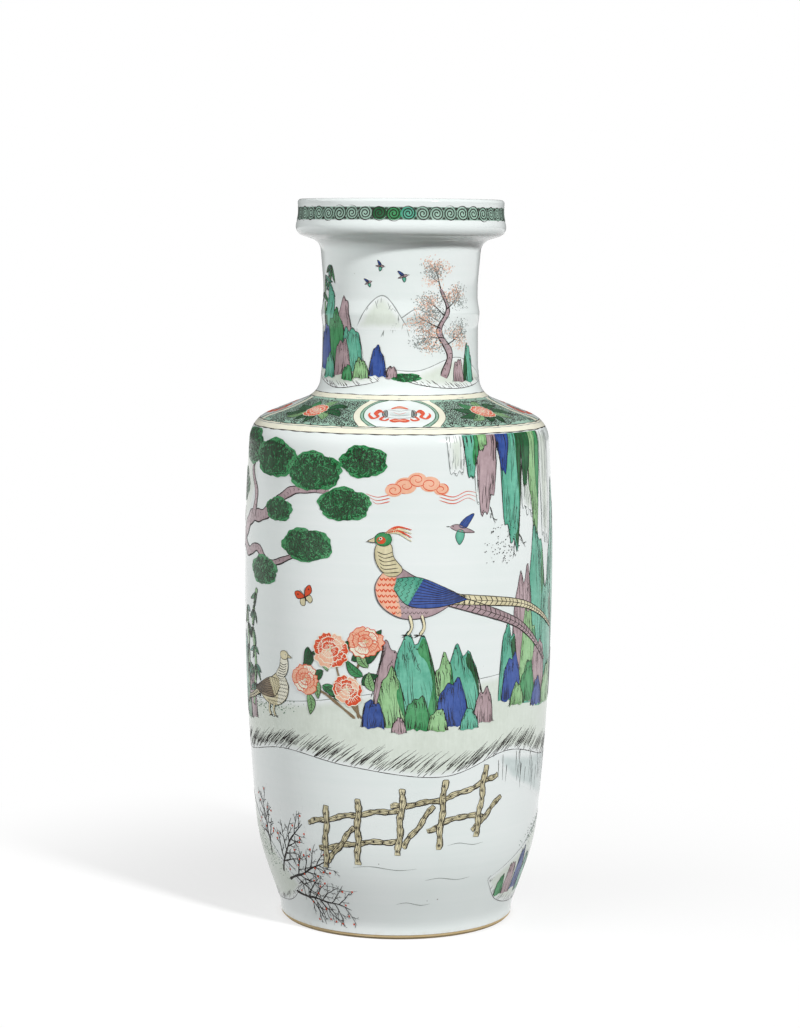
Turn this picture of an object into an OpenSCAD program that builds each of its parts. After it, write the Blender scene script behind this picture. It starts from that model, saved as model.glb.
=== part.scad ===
// Rouleau vase in porcelain: thrown sections luted together with slip, glazed inside and out,
// with a bare foot rim and raised enamel border bands.
// Millimetres, +Z up, origin at the middle of the standing face, front towards -Y.

/* [Foot] */
// Outer diameter of the upright foot wall
foot_d = 148.4; // [138:0.2:158]
// Height of the upright foot wall
foot_h = 8; // [6:0.5:12]
// Width of the foot ring
foot_ring_w = 9; // [7:0.5:13]
// Bevel on both edges of the standing face
foot_bevel = 1.5; // [0.5:0.1:2.5]
// Height of the bare rim below the glaze edge
bare_h = 3; // [2.6:0.1:5]
// Radius where the foot wall turns out into the body
foot_turn = 6; // [2:0.5:12]
// Depth of the recess under the floor
recess_h = 6; // [3:0.5:9]
// Thickness of the floor
floor_t = 9; // [7:0.5:14]
// Inside diameter of the floor
floor_d = 132; // [116:1:136]
// Radius of the inside corner between floor and wall
floor_turn = 14; // [6:1:24]

/* [Body] */
// Diameter at the hip, where the flare from the foot turns upright
hip_d = 177.2; // [166:0.2:186]
// Height of the hip above the foot wall
hip_h = 40; // [28:1:56]
// Radius of the turn at the hip
hip_turn = 110; // [30:5:140]
// Largest diameter of the body
belly_d = 195; // [188:0.2:206]
// Height from the hip to the largest diameter
lower_h = 172; // [130:1:210]
// Height from the largest diameter to the shoulder edge
upper_h = 97; // [80:1:130]
// Diameter at the shoulder edge
edge_d = 188; // [180:0.2:194]
// Radius of the shoulder edge
edge_turn = 18; // [10:0.5:24]
// Thickness of the body wall
body_wall = 6.5; // [4.5:0.1:8.5]

/* [Shoulder and neck] */
// Rise of the shoulder from its edge to the neck
shoulder_h = 17; // [12:0.5:24]
// Diameter of the neck at its root
root_d = 102.6; // [99:0.2:108]
// Radius of the hollow between shoulder and neck
root_turn = 16; // [8:0.5:22]
// Height of the flare at the neck's root
flare_h = 16; // [12:0.5:22]
// Radius of the turn above that flare
flare_turn = 60; // [30:5:90]
// Diameter of the neck above that flare
flare_d = 98.4; // [97.4:0.1:99.2]
// Diameter of the neck below the rib
neck_d = 97.8; // [96.6:0.1:98.6]
// Diameter of the rib round the neck
rib_d = 99.8; // [99.2:0.1:103]
// Height of the rib from edge to edge
rib_h = 17; // [10:0.5:22]
// Radius of the rib's crest
rib_turn = 10; // [4:1:16]
// Radius of the hollow above and below the rib
rib_hollow = 20; // [8:1:30]
// Height of the rib's crest above the neck's root
rib_up = 50.5; // [42:0.5:56]
// Diameter of the neck above the rib
upper_neck_d = 97; // [95.4:0.1:98.6]
// Height above the rib's crest where the neck starts to widen
widen_up = 18.5; // [14:0.5:22]
// Radius of the turn where it widens
widen_turn = 150; // [40:10:200]
// Height of the neck from its root to the mouth's underside
neck_h = 94.6; // [88:0.2:106]
// Thickness of the neck's wall where it is slimmest
neck_wall = 5.3; // [4:0.1:7.4]
// Radius where the bore opens into the body
bore_turn = 12; // [6:0.5:18]

/* [Mouth] */
// Diameter of the neck where the mouth's underside begins
under_d = 101.4; // [100:0.2:104]
// Radius of the hollow below the mouth
under_turn = 8; // [4:0.5:12]
// Rise of the mouth's underside
under_h = 5.4; // [4:0.1:9]
// Diameter of the roll below the rim, measured to its sharp corner
roll_d = 134; // [130:0.2:140]
// Radius of the roll
roll_turn = 6; // [3:0.5:7]
// Height of the rim above the roll
rim_h = 21; // [17:0.5:28]
// Diameter of the waist in the rim wall
rim_waist_d = 128.6; // [126.4:0.1:129.4]
// Radius of the hollow at that waist
rim_waist_turn = 25; // [8:1:40]
// Depth of that waist below the lip
rim_waist_down = 8.5; // [6:0.5:11]
// Outer diameter of the lip
lip_d = 130; // [129.6:0.1:134]
// Thickness of the lip
lip_w = 5.1; // [4.6:0.1:6]
// Rounding of the lip's two edges
lip_turn = 2.2; // [1:0.1:2.5]
// Thickness of the mouth's floor
mouth_wall = 6; // [4.5:0.1:8]
// Radius of the inside corner of the mouth
well_turn = 5; // [2:0.5:7]
// Radius where the mouth's floor turns down into the bore
throat_turn = 8; // [3:0.5:9]

/* [Lute joints] */
// Thickness of the slip between two sections
slip_t = 0.6; // [0.3:0.1:1.2]
// Rise of each joint from the outside to the inside of the wall
lute_rise = 3; // [1:0.5:5]
// Height of the foot section's joint above the hip
foot_lute_up = 14; // [10:1:40]
// Depth of the body's middle joint below the largest diameter
belly_lute_down = 38; // [10:1:60]
// Depth of the shoulder's joint below the shoulder edge
edge_lute_down = 24; // [20:1:40]
// Height of the neck's joint above its root
root_lute_up = 10; // [8:0.5:16]
// Depth of the mouth's joint below its underside
mouth_lute_down = 9; // [8:0.5:12]

/* [Glaze and enamel] */
// Thickness of the glaze
glaze_t = 0.4; // [0.2:0.05:0.7]
// Thickness of the enamel
enamel_t = 0.2; // [0.1:0.05:0.4]
// Height of the rim band's lower edge above the roll
rim_band_up = 8.4; // [7:0.2:10]
// Height of the rim band
rim_band_h = 7.4; // [4:0.2:9]
// Depth of the edge band's lower edge below the shoulder edge
edge_band_down = 3; // [1:0.2:8]
// Height of the edge band
edge_band_h = 4.2; // [2.4:0.2:6]
// Depth of the shoulder ground's upper edge below the neck's root
ground_down = 1.6; // [0.6:0.2:3]
// Height of the band round the neck's root
root_band_h = 2.7; // [1.4:0.1:5]
// Number of panels on the shoulder
panel_count = 4; // [3:1:5]
// Width of a panel over its frame
panel_w = 56; // [48:1:64]
// Radius of a panel's rounded sides
panel_turn = 23; // [20:0.5:24]
// Width of a panel's frame
frame_w = 4; // [2:0.5:6]

/* [Hidden] */
$fn = 180;
// Pieces of each rounded corner and of each stretch of the body's curve
arc_steps = 8;
lower_steps = 14;
upper_steps = 9;

// Heights above the standing face
hip_z = foot_h + hip_h;
belly_z = hip_z + lower_h;
edge_z = belly_z + upper_h;
root_z = edge_z + shoulder_h;
rib_z = root_z + rib_up;
under_z = root_z + neck_h;
roll_z = under_z + under_h;
lip_z = roll_z + rim_h;
floor_z = recess_h + floor_t;

// Heights of the joints on the outside of the wall
foot_lute_z = hip_z + foot_lute_up;
belly_lute_z = belly_z - belly_lute_down;
edge_lute_z = edge_z - edge_lute_down;
root_lute_z = root_z + root_lute_up;
mouth_lute_z = under_z - mouth_lute_down;

// Edges of the enamel bands
edge_band_z = edge_z - edge_band_down;
ground_z = edge_band_z + edge_band_h;
root_band_z = root_z - ground_down;
rim_band_z = roll_z + rim_band_up;

// Bore that leaves the neck its wall all the way up
bore_d = min(flare_d, neck_d, upper_neck_d) - 2 * neck_wall;

// Radii of the clay foot ring and of the recess inside it
foot_clay_r = foot_d / 2 - glaze_t;
recess_r = foot_clay_r - foot_ring_w;

// Slopes of the shoulder and of the mouth's underside
shoulder_slope = atan(shoulder_h / ((edge_d - root_d) / 2));
under_slope = atan(under_h / ((roll_d - under_d) / 2));
lip_in_r = lip_d / 2 - lip_w;
panel_at = (edge_d + root_d) / 4;

function unit(v) = v / norm(v);
function flat(p) = [p.x, p.y];
function reverse(v) = [for (i = [len(v) - 1 : -1 : 0]) v[i]];
function but_first(v) = [for (i = [1 : len(v) - 1]) v[i]];
function but_last(v) = [for (i = [0 : len(v) - 2]) v[i]];

// True arc that rounds the corner b between a and c, kept within both sides
function fillet(a, b, c, radius) =
  let (to_a = unit(a - b))
  let (to_c = unit(c - b))
  let (half = acos(max(-1, min(1, to_a * to_c))) / 2)
  let (reach = min(radius / tan(half), 0.49 * norm(a - b), 0.49 * norm(c - b)))
  let (r = reach * tan(half))
  let (middle = b + unit(to_a + to_c) * r / sin(half))
  let (first = b + to_a * reach - middle)
  let (last = b + to_c * reach - middle)
  let (start = atan2(first.y, first.x))
  let (step = atan2(cross(first, last), first * last) / arc_steps)
  half > 89.99 ? [b]
  : [for (i = [0 : arc_steps]) middle + r * [cos(start + step * i), sin(start + step * i)]];

// Path through the corners [radius, height, rounding]
function rounded(v) = [
  for (i = [0 : len(v) - 1]) each
    i == 0 || i == len(v) - 1 || v[i].z == 0 ? [flat(v[i])]
    : fillet(flat(v[i - 1]), flat(v[i]), flat(v[i + 1]), v[i].z)
];

// The path moved to its left by depth, which is into the wall
function normal(path, i) =
  let (along = unit(path[min(i + 1, len(path) - 1)] - path[max(i - 1, 0)]))
  [-along.y, along.x];
function inset(path, depth) = [for (i = [0 : len(path) - 1]) path[i] + depth * normal(path, i)];

// Stretches of a path that rises from its first point to its last
function at_height(path, z) =
  let (i = [for (k = [0 : len(path) - 2]) if (path[k].y <= z && z < path[k + 1].y) k][0])
  let (a = path[i])
  let (b = path[i + 1])
  a + (b - a) * (z - a.y) / (b.y - a.y);
function above(path, low) = concat([at_height(path, low)], [for (q = path) if (q.y > low) q]);
function below(path, high) = concat([for (q = path) if (q.y < high) q], [at_height(path, high)]);
function between(path, low, high) = below(above(path, low), high);

// Barrel curve of the body: widest at the belly, drawn in to the hip below and the edge above
function belly_r(z) =
  let (low = z < belly_z)
  let (share = low ? (belly_z - z) / lower_h : (z - belly_z) / upper_h)
  belly_d / 2 - (belly_d - (low ? hip_d : edge_d)) / 2 * pow(share, 2);
// Its ends are left free for the rounding at the hip and at the edge
function barrel(inside) =
  let (lower = [for (i = [3 : lower_steps]) hip_z + lower_h * i / lower_steps])
  let (upper = [for (i = [1 : upper_steps - 3]) belly_z + upper_h * i / upper_steps])
  [for (z = concat(lower, upper)) [belly_r(z) - inside, z, 0]];

// Heights of the shoulder's and the underside's inner faces at a radius
function under_shoulder(r) =
  edge_z + (edge_d / 2 - r) * tan(shoulder_slope) - body_wall / cos(shoulder_slope);
function mouth_floor(r) =
  under_z + (r - under_d / 2) * tan(under_slope) + mouth_wall / cos(under_slope);

// Finished outside, from the glaze edge at the foot to the crown of the lip
crown = [lip_d / 2 - lip_w / 2, lip_z];
finish_out = concat(but_last(rounded(concat(
  [
    [foot_d / 2, bare_h, 0],
    [foot_d / 2, foot_h, foot_turn],
    [hip_d / 2, hip_z, hip_turn]
  ],
  barrel(0),
  [
    [edge_d / 2, edge_z, edge_turn],
    [root_d / 2, root_z, root_turn],
    [flare_d / 2, root_z + flare_h, flare_turn],
    [neck_d / 2, rib_z - rib_h / 2, rib_hollow],
    [rib_d / 2, rib_z, rib_turn],
    [upper_neck_d / 2, rib_z + rib_h / 2, rib_hollow],
    [upper_neck_d / 2, rib_z + widen_up, widen_turn],
    [under_d / 2, under_z, under_turn],
    [roll_d / 2, roll_z, roll_turn],
    [rim_waist_d / 2, lip_z - rim_waist_down, rim_waist_turn],
    [lip_d / 2, lip_z, lip_turn],
    [lip_in_r, lip_z, 0]
  ]
))), [crown]);

// Finished inside, from the crown of the lip down to the middle of the floor
finish_in = concat([crown], but_first(rounded(concat(
  [
    [lip_d / 2, lip_z, 0],
    [lip_in_r, lip_z, lip_turn],
    [lip_in_r, mouth_floor(lip_in_r), well_turn],
    [bore_d / 2, mouth_floor(bore_d / 2), throat_turn],
    [bore_d / 2, under_shoulder(bore_d / 2), bore_turn],
    [edge_d / 2 - body_wall, under_shoulder(edge_d / 2 - body_wall), max(edge_turn - body_wall, 3)]
  ],
  reverse(barrel(body_wall)),
  [
    [hip_d / 2 - body_wall, hip_z, hip_turn],
    [floor_d / 2, floor_z, floor_turn],
    [0, floor_z, 0]
  ]
))));

// Clay surfaces under the glaze, both rising
clay_out = inset(finish_out, glaze_t);
clay_in = reverse(inset(finish_in, glaze_t));

// Ring of clay between the joints at two heights, with half a slip layer left at each
module clay_ring(low, high) {
  color("#E7DFD0")
    rotate_extrude()
      polygon(concat(
        between(clay_out, low + slip_t / 2, high - slip_t / 2),
        reverse(between(clay_in, low + lute_rise + slip_t / 2, high + lute_rise - slip_t / 2))
      ));
}

// Slip that fills the joint at one height
module lute(z) {
  color("#CFC4B2")
    rotate_extrude()
      polygon(concat(
        between(clay_out, z - slip_t / 2, z + slip_t / 2),
        reverse(between(clay_in, z + lute_rise - slip_t / 2, z + lute_rise + slip_t / 2))
      ));
}

// Enamel laid on the outside between two heights
module enamel(low, high) {
  face = between(finish_out, low, high);
  rotate_extrude()
    polygon(concat(face, reverse(inset(face, -enamel_t))));
}

// Upright column with a panel's outline at each panel's place, drawn in by frame
module panels(frame) {
  for (i = [0 : panel_count - 1])
    rotate(360 * i / panel_count - 90)
      for (side = [-1, 1])
        translate([panel_at, side * (panel_w / 2 - panel_turn), edge_z - shoulder_h])
          cylinder(r = panel_turn - frame, h = 3 * shoulder_h);
}

module foot_section() {
  color("#B79A78")
    rotate_extrude()
      polygon(concat(
        [
          [0, recess_h],
          [recess_r, recess_h],
          [recess_r, foot_bevel],
          [recess_r + foot_bevel, 0],
          [foot_clay_r - foot_bevel, 0],
          [foot_clay_r, foot_bevel]
        ],
        below(clay_out, foot_lute_z - slip_t / 2),
        reverse(below(clay_in, foot_lute_z + lute_rise - slip_t / 2))
      ));
}

module lower_body() {
  clay_ring(foot_lute_z, belly_lute_z);
}

module upper_body() {
  clay_ring(belly_lute_z, edge_lute_z);
}

module shoulder() {
  clay_ring(edge_lute_z, root_lute_z);
}

module lower_neck() {
  clay_ring(root_lute_z, rib_z);
}

module upper_neck() {
  clay_ring(rib_z, mouth_lute_z);
}

module mouth() {
  color("#E7DFD0")
    rotate_extrude()
      polygon(concat(
        above(clay_out, mouth_lute_z + slip_t / 2),
        but_first(reverse(above(clay_in, mouth_lute_z + lute_rise + slip_t / 2)))
      ));
}

module foot_lute() {
  lute(foot_lute_z);
}

module belly_lute() {
  lute(belly_lute_z);
}

module edge_lute() {
  lute(edge_lute_z);
}

module root_lute() {
  lute(root_lute_z);
}

module rib_lute() {
  lute(rib_z);
}

module mouth_lute() {
  lute(mouth_lute_z);
}

module outer_glaze() {
  color("#E8EDEB")
    rotate_extrude()
      polygon(concat(finish_out, reverse(clay_out)));
}

module inner_glaze() {
  color("#E4EAE8")
    rotate_extrude()
      polygon(concat(finish_in, clay_in));
}

module base_glaze() {
  color("#E4EAE8")
    translate([0, 0, recess_h - glaze_t])
      cylinder(r = recess_r, h = glaze_t);
}

module rim_band() {
  color("#2F8F63")
    enamel(rim_band_z, rim_band_z + rim_band_h);
}

module root_band() {
  color("#EDE6C6")
    enamel(root_band_z, root_band_z + root_band_h);
}

module shoulder_ground() {
  color("#4F8168")
    difference() {
      enamel(ground_z, root_band_z);
      panels(0);
    }
}

module panel_frames() {
  color("#EDE6C6")
    intersection() {
      enamel(ground_z, root_band_z);
      difference() {
        panels(0);
        panels(frame_w);
      }
    }
}

module edge_band() {
  color("#EDE6C6")
    enamel(edge_band_z, ground_z);
}

foot_section();
lower_body();
upper_body();
shoulder();
lower_neck();
upper_neck();
mouth();
foot_lute();
belly_lute();
edge_lute();
root_lute();
rib_lute();
mouth_lute();
outer_glaze();
inner_glaze();
base_glaze();
rim_band();
root_band();
shoulder_ground();
panel_frames();
edge_band();
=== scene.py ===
"""Rouleau vase: glaze, bare foot and brushed enamels over the packed clay sections."""
import functools
import math
import random

import bpy
import numpy as np
from mathutils import Matrix, Vector
from mathutils.geometry import delaunay_2d_cdt


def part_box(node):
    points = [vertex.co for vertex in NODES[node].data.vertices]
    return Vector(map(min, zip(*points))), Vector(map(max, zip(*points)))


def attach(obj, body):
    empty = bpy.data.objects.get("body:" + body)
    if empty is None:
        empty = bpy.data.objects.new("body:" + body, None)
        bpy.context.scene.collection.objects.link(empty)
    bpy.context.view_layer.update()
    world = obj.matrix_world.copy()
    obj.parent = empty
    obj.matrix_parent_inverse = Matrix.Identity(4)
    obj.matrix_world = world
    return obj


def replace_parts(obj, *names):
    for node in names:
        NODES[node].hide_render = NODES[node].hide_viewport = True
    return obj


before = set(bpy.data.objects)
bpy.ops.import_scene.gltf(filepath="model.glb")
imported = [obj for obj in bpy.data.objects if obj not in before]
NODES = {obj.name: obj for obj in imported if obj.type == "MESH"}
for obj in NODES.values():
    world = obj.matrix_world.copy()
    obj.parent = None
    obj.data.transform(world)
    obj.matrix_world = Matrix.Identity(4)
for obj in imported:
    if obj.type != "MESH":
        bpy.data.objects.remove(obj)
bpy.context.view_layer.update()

bl_info = {
    "name": "Rouleau Vase",
    "version": (1, 0, 0),
    "blender": (4, 5, 0),
    "location": "View3D > Sidebar > Vase",
    "description": "Glazes and paints a porcelain rouleau vase over its packed clay sections",
    "category": "Object",
}

CLAY = ["foot_section", "lower_body", "upper_body", "shoulder", "lower_neck", "upper_neck", "mouth"]
LUTES = ["foot_lute", "belly_lute", "edge_lute", "root_lute", "rib_lute", "mouth_lute"]

# Pictures are drawn flat in mm: u runs round the vase at one of these radii, v is the height.
BODY_R, NECK_R, RIM_R = 97, 49, 64.4
# Radius at which a shoulder panel's middle lies, its half straight length and the radius of its ends.
PANEL_R, PANEL_STRAIGHT, PANEL_ROUND = 72.65, 5, 23
# Heights between which the shoulder slopes, so that a place on it is found by its radius.
SLOPE_LOW, SLOPE_HIGH = 312, 338


def linear(code):
    """A colour written as six hex digits, as the linear light that a shader takes."""
    parts = [int(code[i:i + 2], 16) / 255 for i in (0, 2, 4)]
    return tuple(c / 12.92 if c <= 0.04045 else ((c + 0.055) / 1.055) ** 2.4 for c in parts)


def solid(rgb):
    """A colour with full alpha."""
    return tuple(rgb[:3]) + (1.0,)


def blend(a, b, share):
    """The colour that lies at a share of the way from a to b, with full alpha."""
    return solid([x + (y - x) * share for x, y in zip(a[:3], b[:3])])


# ---------------------------------------------------------------- settings


def colour(name, code, description):
    return bpy.props.FloatVectorProperty(
        name=name, description=description, subtype="COLOR", size=3, min=0, max=1, default=linear(code))


def length(name, mm, description):
    return bpy.props.FloatProperty(
        name=name, description=description, unit="LENGTH", subtype="DISTANCE", default=mm / 1000, min=0,
        precision=5)


def rotation(name, degrees, description):
    return bpy.props.FloatProperty(
        name=name, description=description, unit="ROTATION", subtype="ANGLE", default=math.radians(degrees))


def wattage(name, watts, description):
    return bpy.props.FloatProperty(name=name, description=description, unit="POWER", default=watts)


class VaseGlazeSettings(bpy.types.PropertyGroup):
    """The clear glaze, and the clay where it is bare."""
    white: colour("Glaze", "E9EEED", "Colour of the glaze over the white clay")
    cool: colour("Pooled glaze", "DCE6E3", "Colour where the glaze lies thicker")
    speck: colour("Specks", "5A5348", "Colour of the iron specks in the glaze")
    biscuit: colour("Bare clay", "D8C7A6", "Colour of the fired clay without glaze")
    burnt: colour("Burnt clay", "B59A68", "Colour of the clay toasted at the foot rim")
    slip: colour("Slip", "DCD2BF", "Colour of the slip in the joints")
    gloss: bpy.props.FloatProperty(
        name="Roughness", description="Roughness of the glaze", subtype="FACTOR", default=0.09, min=0, max=1)


class VaseEnamelSettings(bpy.types.PropertyGroup):
    """The overglaze colours and how they lie on the glaze."""
    deep_green: colour("Deep green", "0A6430", "Green of pine, leaves and dark rock")
    leaf_green: colour("Leaf green", "2F9A55", "Brighter green of leaves and borders")
    apple: colour("Apple green", "93CB86", "Pale yellowish green of leaves and rock")
    turquoise: colour("Turquoise", "58BC9D", "Blue-green of the large rocks")
    celadon: colour("Celadon wash", "DBE4D8", "Very pale green wash of the banks")
    mist: colour("Mist wash", "CBD8D6", "Very pale grey-blue wash of far hills")
    blue: colour("Violet blue", "3054A6", "Blue of wings, rocks and flowers")
    aubergine: colour("Aubergine", "BBA0A5", "Pale purple of bark, rock and feathers")
    iron_red: colour("Iron red", "DB5330", "Thin red of blossoms and lines")
    peach: colour("Peach wash", "F3B898", "Iron red thinned to a wash")
    cream: colour("Cream", "F4F1DB", "Pale yellow of bands and frames")
    ochre: colour("Ochre", "EFE4B6", "Brownish yellow of fences and crests")
    bark: colour("Bark brown", "8A7350", "Brown of stems and old wood")
    grey: colour("Line grey", "8F9693", "Thinned black of soft lines and dots")
    border: colour("Border green", "9DC4B0", "Thin green under the scroll border")
    ground: colour("Ground green", "A6D0BA", "Green under the curled shoulder ground")
    ink: colour("Ink", "1F1713", "Brown-black of outlines and hatching")
    first_lift: length("First lift", 0.040, "Height of the lowest enamel over the glaze")
    coat_step: length("Coat step", 0.018, "Height of each enamel coat over the one below")


class VaseStageSettings(bpy.types.PropertyGroup):
    """Camera, lamps and floor."""
    distance: length("Camera distance", 1634, "Level distance of the camera from the vase's axis")
    height: length("Camera height", 433, "Height of the camera over the floor")
    aside: length("Camera offset", 0.7, "How far the camera stands to the right of the axis")
    tilt: rotation("Tilt", 6.16, "How far the camera looks down")
    roll: rotation("Roll", 0.42, "How far the picture leans")
    lens: bpy.props.FloatProperty(
        name="Lens", description="Focal length", subtype="DISTANCE_CAMERA", default=90.6)
    key: wattage("Key lamp", 820, "Power of the key lamp")
    fill: wattage("Fill lamp", 31, "Power of the fill lamp")
    top: wattage("Top lamp", 1, "Power of the top lamp")
    world: bpy.props.FloatProperty(
        name="Room light", description="Strength of the even room light", default=0.20)
    floor: colour("Floor", "FFFFFF", "Colour of the floor")


# ---------------------------------------------------------------- meshes and objects


def new_object(name, data):
    made = bpy.data.objects.new(name, data)
    bpy.context.scene.collection.objects.link(made)
    return made


def values(items, name, kind=float, each=3):
    """One property of all the vertices, corners or faces of a mesh, a row for each."""
    out = np.empty(len(items) * each, kind)
    items.foreach_get(name, out)
    return out.reshape(-1, each)


def dress(mesh, finish):
    mesh.materials.clear()
    mesh.materials.append(finish)


def face(mesh, facing):
    """Turns a mesh's normals away from the axis, or towards it where facing is -1."""
    level = values(mesh.vertices, "co")[:, :2] * values(mesh.vertices, "normal")[:, :2]
    if facing * level.sum() < 0:
        mesh.flip_normals()


# ---------------------------------------------------------------- node trees


def math_node(operation, swapped=False):
    """A method that takes a socket, and another socket or number, through a math node."""
    def method(self, other=0.0):
        a, b = (other, self) if swapped else (self, other)
        return self.graph.node("ShaderNodeMath", {"operation": operation}, {0: a, 1: b})
    return method


class Val:
    """A socket of a node tree that takes part in Python expressions."""

    def __init__(self, graph, socket):
        self.graph, self.socket = graph, socket

    __add__ = __radd__ = math_node("ADD")
    __sub__, __rsub__ = math_node("SUBTRACT"), math_node("SUBTRACT", True)
    __mul__, __truediv__ = math_node("MULTIPLY"), math_node("DIVIDE")
    sine, cosine = math_node("SINE"), math_node("COSINE")

    def beside(self, name):
        """Another output of the same node."""
        return Val(self.graph, self.socket.node.outputs[name])

    def held(self):
        """The value kept between 0 and 1."""
        return self.graph.node("ShaderNodeClamp", {}, {0: self})

    def ramp(self, low, high):
        """0 below low, 1 above high and a smooth rise between."""
        return self.graph.node("ShaderNodeMapRange", {"interpolation_type": "SMOOTHSTEP"},
                               {0: self, 1: low, 2: high})


class Graph:
    """A node tree and the one way in which its nodes are made."""

    def __init__(self, tree):
        self.tree = tree

    def node(self, kind, settings=None, inputs=None, out=0):
        made = self.tree.nodes.new(kind)
        for key, value in (settings or {}).items():
            setattr(made, key, value)
        for key, value in (inputs or {}).items():
            if isinstance(value, Val):
                self.tree.links.new(value.socket, made.inputs[key])
            else:
                made.inputs[key].default_value = value
        return Val(self, made.outputs[out]) if made.outputs else made

    def part(self, vector, axis):
        return self.node("ShaderNodeSeparateXYZ", {}, {0: vector}, axis)

    def join(self, x=0.0, y=0.0, z=0.0):
        return self.node("ShaderNodeCombineXYZ", {}, {0: x, 1: y, 2: z})

    def mix(self, share, a, b):
        return self.node("ShaderNodeMix", {"data_type": "RGBA"}, {0: share, 6: a, 7: b}, 2)

    def noise(self, where, scale, detail=3.0, rough=0.55):
        return self.node("ShaderNodeTexNoise", {}, {
            "Vector": where, "Scale": scale, "Detail": detail, "Roughness": rough})


class Finish(Graph):
    """A material made of nodes."""

    def __init__(self, name):
        self.material = bpy.data.materials.new(name)
        self.material.use_nodes = True
        super().__init__(self.material.node_tree)
        self.tree.nodes.clear()
        self.at = self.node("ShaderNodeTexCoord", out=3)

    def stretched(self, x, y, z):
        return self.node("ShaderNodeMapping", {}, {"Vector": self.at, "Scale": (x, y, z)})

    def finish(self, shade, rough, bump, bump_height, **fixed):
        normal = self.node("ShaderNodeBump", {}, {"Strength": 1.0, "Distance": bump_height, "Height": bump})
        shader = self.node("ShaderNodeBsdfPrincipled", {}, {
            "Base Color": shade, "Roughness": rough, "Normal": normal, **fixed})
        self.node("ShaderNodeOutputMaterial", {}, {"Surface": shader})
        return self.material


@functools.cache
def glaze_finish():
    """Clear bluish glaze: faint pooling, throwing rings, pinholes and a few iron specks."""
    look = bpy.context.scene.vase_glaze
    f = Finish("clear_glaze")
    broad = f.noise(f.at, 16.0, 2.0)
    rings = f.noise(f.stretched(3.0, 3.0, 260.0), 1.0, 2.0)
    thick = (broad * 1.3 + rings * 0.5 - 0.55).held()
    clear = f.mix(thick, solid(look.white), solid(look.cool))
    cells = f.node("ShaderNodeTexVoronoi", {}, {"Vector": f.at, "Scale": 95.0})
    few = f.noise(f.at, 70.0, 0.0).ramp(0.66, 0.70)
    speck = (1 - cells.ramp(0.03, 0.055)) * few * 0.75
    warm = (1 - f.part(f.at, 2).ramp(0.003, 0.0062)) * f.noise(f.at, 300.0).ramp(0.35, 0.75) * 0.3
    toned = f.mix(warm, clear, blend(look.burnt, look.white, 0.35))
    shade = f.mix(speck, toned, solid(look.speck))
    skin = f.noise(f.at, 420.0, 2.0)
    rough = look.gloss + skin * 0.05 + speck * 0.2
    peel = broad * 0.8 + rings * 0.14 + skin * 0.06 - speck * 0.3
    return f.finish(shade, rough, peel, bump_height=0.00022, IOR=1.5)


@functools.cache
def biscuit_finish():
    """Bare fired clay: fine grain, toasted orange-brown patches and worn-in dirt at the foot rim."""
    look = bpy.context.scene.vase_glaze
    f = Finish("bare_clay")
    grain = f.noise(f.at, 1500.0, 4.0, 0.7)
    patch = f.noise(f.at, 60.0, 4.0, 0.6)
    low = 1 - f.part(f.at, 2).ramp(0.001, 0.02)
    toast = (low * 0.55 + patch * 0.9 - 0.35).held()
    fired = f.mix(toast, solid(look.biscuit), solid(look.burnt))
    dirt = grain.ramp(0.6, 0.75) * low * 0.6
    shade = f.mix(dirt, fired, blend(look.speck, look.burnt, 0.2))
    return f.finish(shade, 0.62 + grain * 0.3, grain + patch, bump_height=0.00012)


@functools.cache
def slip_finish():
    """Slip that was brushed into a joint: smoother and a little darker than the clay."""
    look = bpy.context.scene.vase_glaze
    f = Finish("luting_slip")
    drag = f.noise(f.stretched(120.0, 120.0, 1400.0), 1.0, 3.0)
    shade = f.mix(drag, blend(look.slip, look.biscuit, 0.4), blend(look.slip, look.burnt, 0.25))
    return f.finish(shade, 0.5 + drag * 0.25, drag, bump_height=0.0001)


PALE = ("cream", "celadon", "mist", "peach")
WASHES = ("celadon", "mist")
LINES = ("ink", "grey", "iron_red")


@functools.cache
def enamel_finish(name):
    """Glassy overglaze colour: thin in brush streaks, deeper where it pools at its edges."""
    base, line = tuple(getattr(bpy.context.scene.vase_enamels, name)), name in LINES
    f = Finish(name + "_enamel")
    broad = f.noise(f.at, 48.0, 2.0)
    wash = f.noise(f.at, 330.0, 4.0, 0.6)
    streak = f.noise(f.stretched(700.0, 700.0, 110.0), 1.0, 3.0)
    pool = f.node("ShaderNodeAttribute", {"attribute_name": "pool"}, out=2)
    full = 0.42 + (broad - 0.5) * 1.5 + (wash - 0.5) + (streak - 0.5) * 0.8 + pool * 0.34
    white = solid(bpy.context.scene.vase_glaze.white)
    thin = blend(base, white, 0.03 if line else 0.03 + 0.2 * base[1])
    deep = solid([c * (0.88 if name in PALE or line else 0.62) for c in base])
    shade = f.mix(full.held(), thin, deep)
    if name in WASHES:
        shade = f.mix((pool + (wash - 0.5) * 0.4).ramp(0.25, 1.0), shade, white)
    rough = (0.42 if line else 0.13) + wash * 0.14
    bump = wash * 0.7 + pool * 0.5 + streak * 0.4
    fixed = {"IOR": 1.55, "Specular IOR Level": 0.14 if line else 0.3}
    return f.finish(shade, rough, bump, bump_height=0.00007, **fixed)


# ---------------------------------------------------------------- the glazed surface


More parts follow.
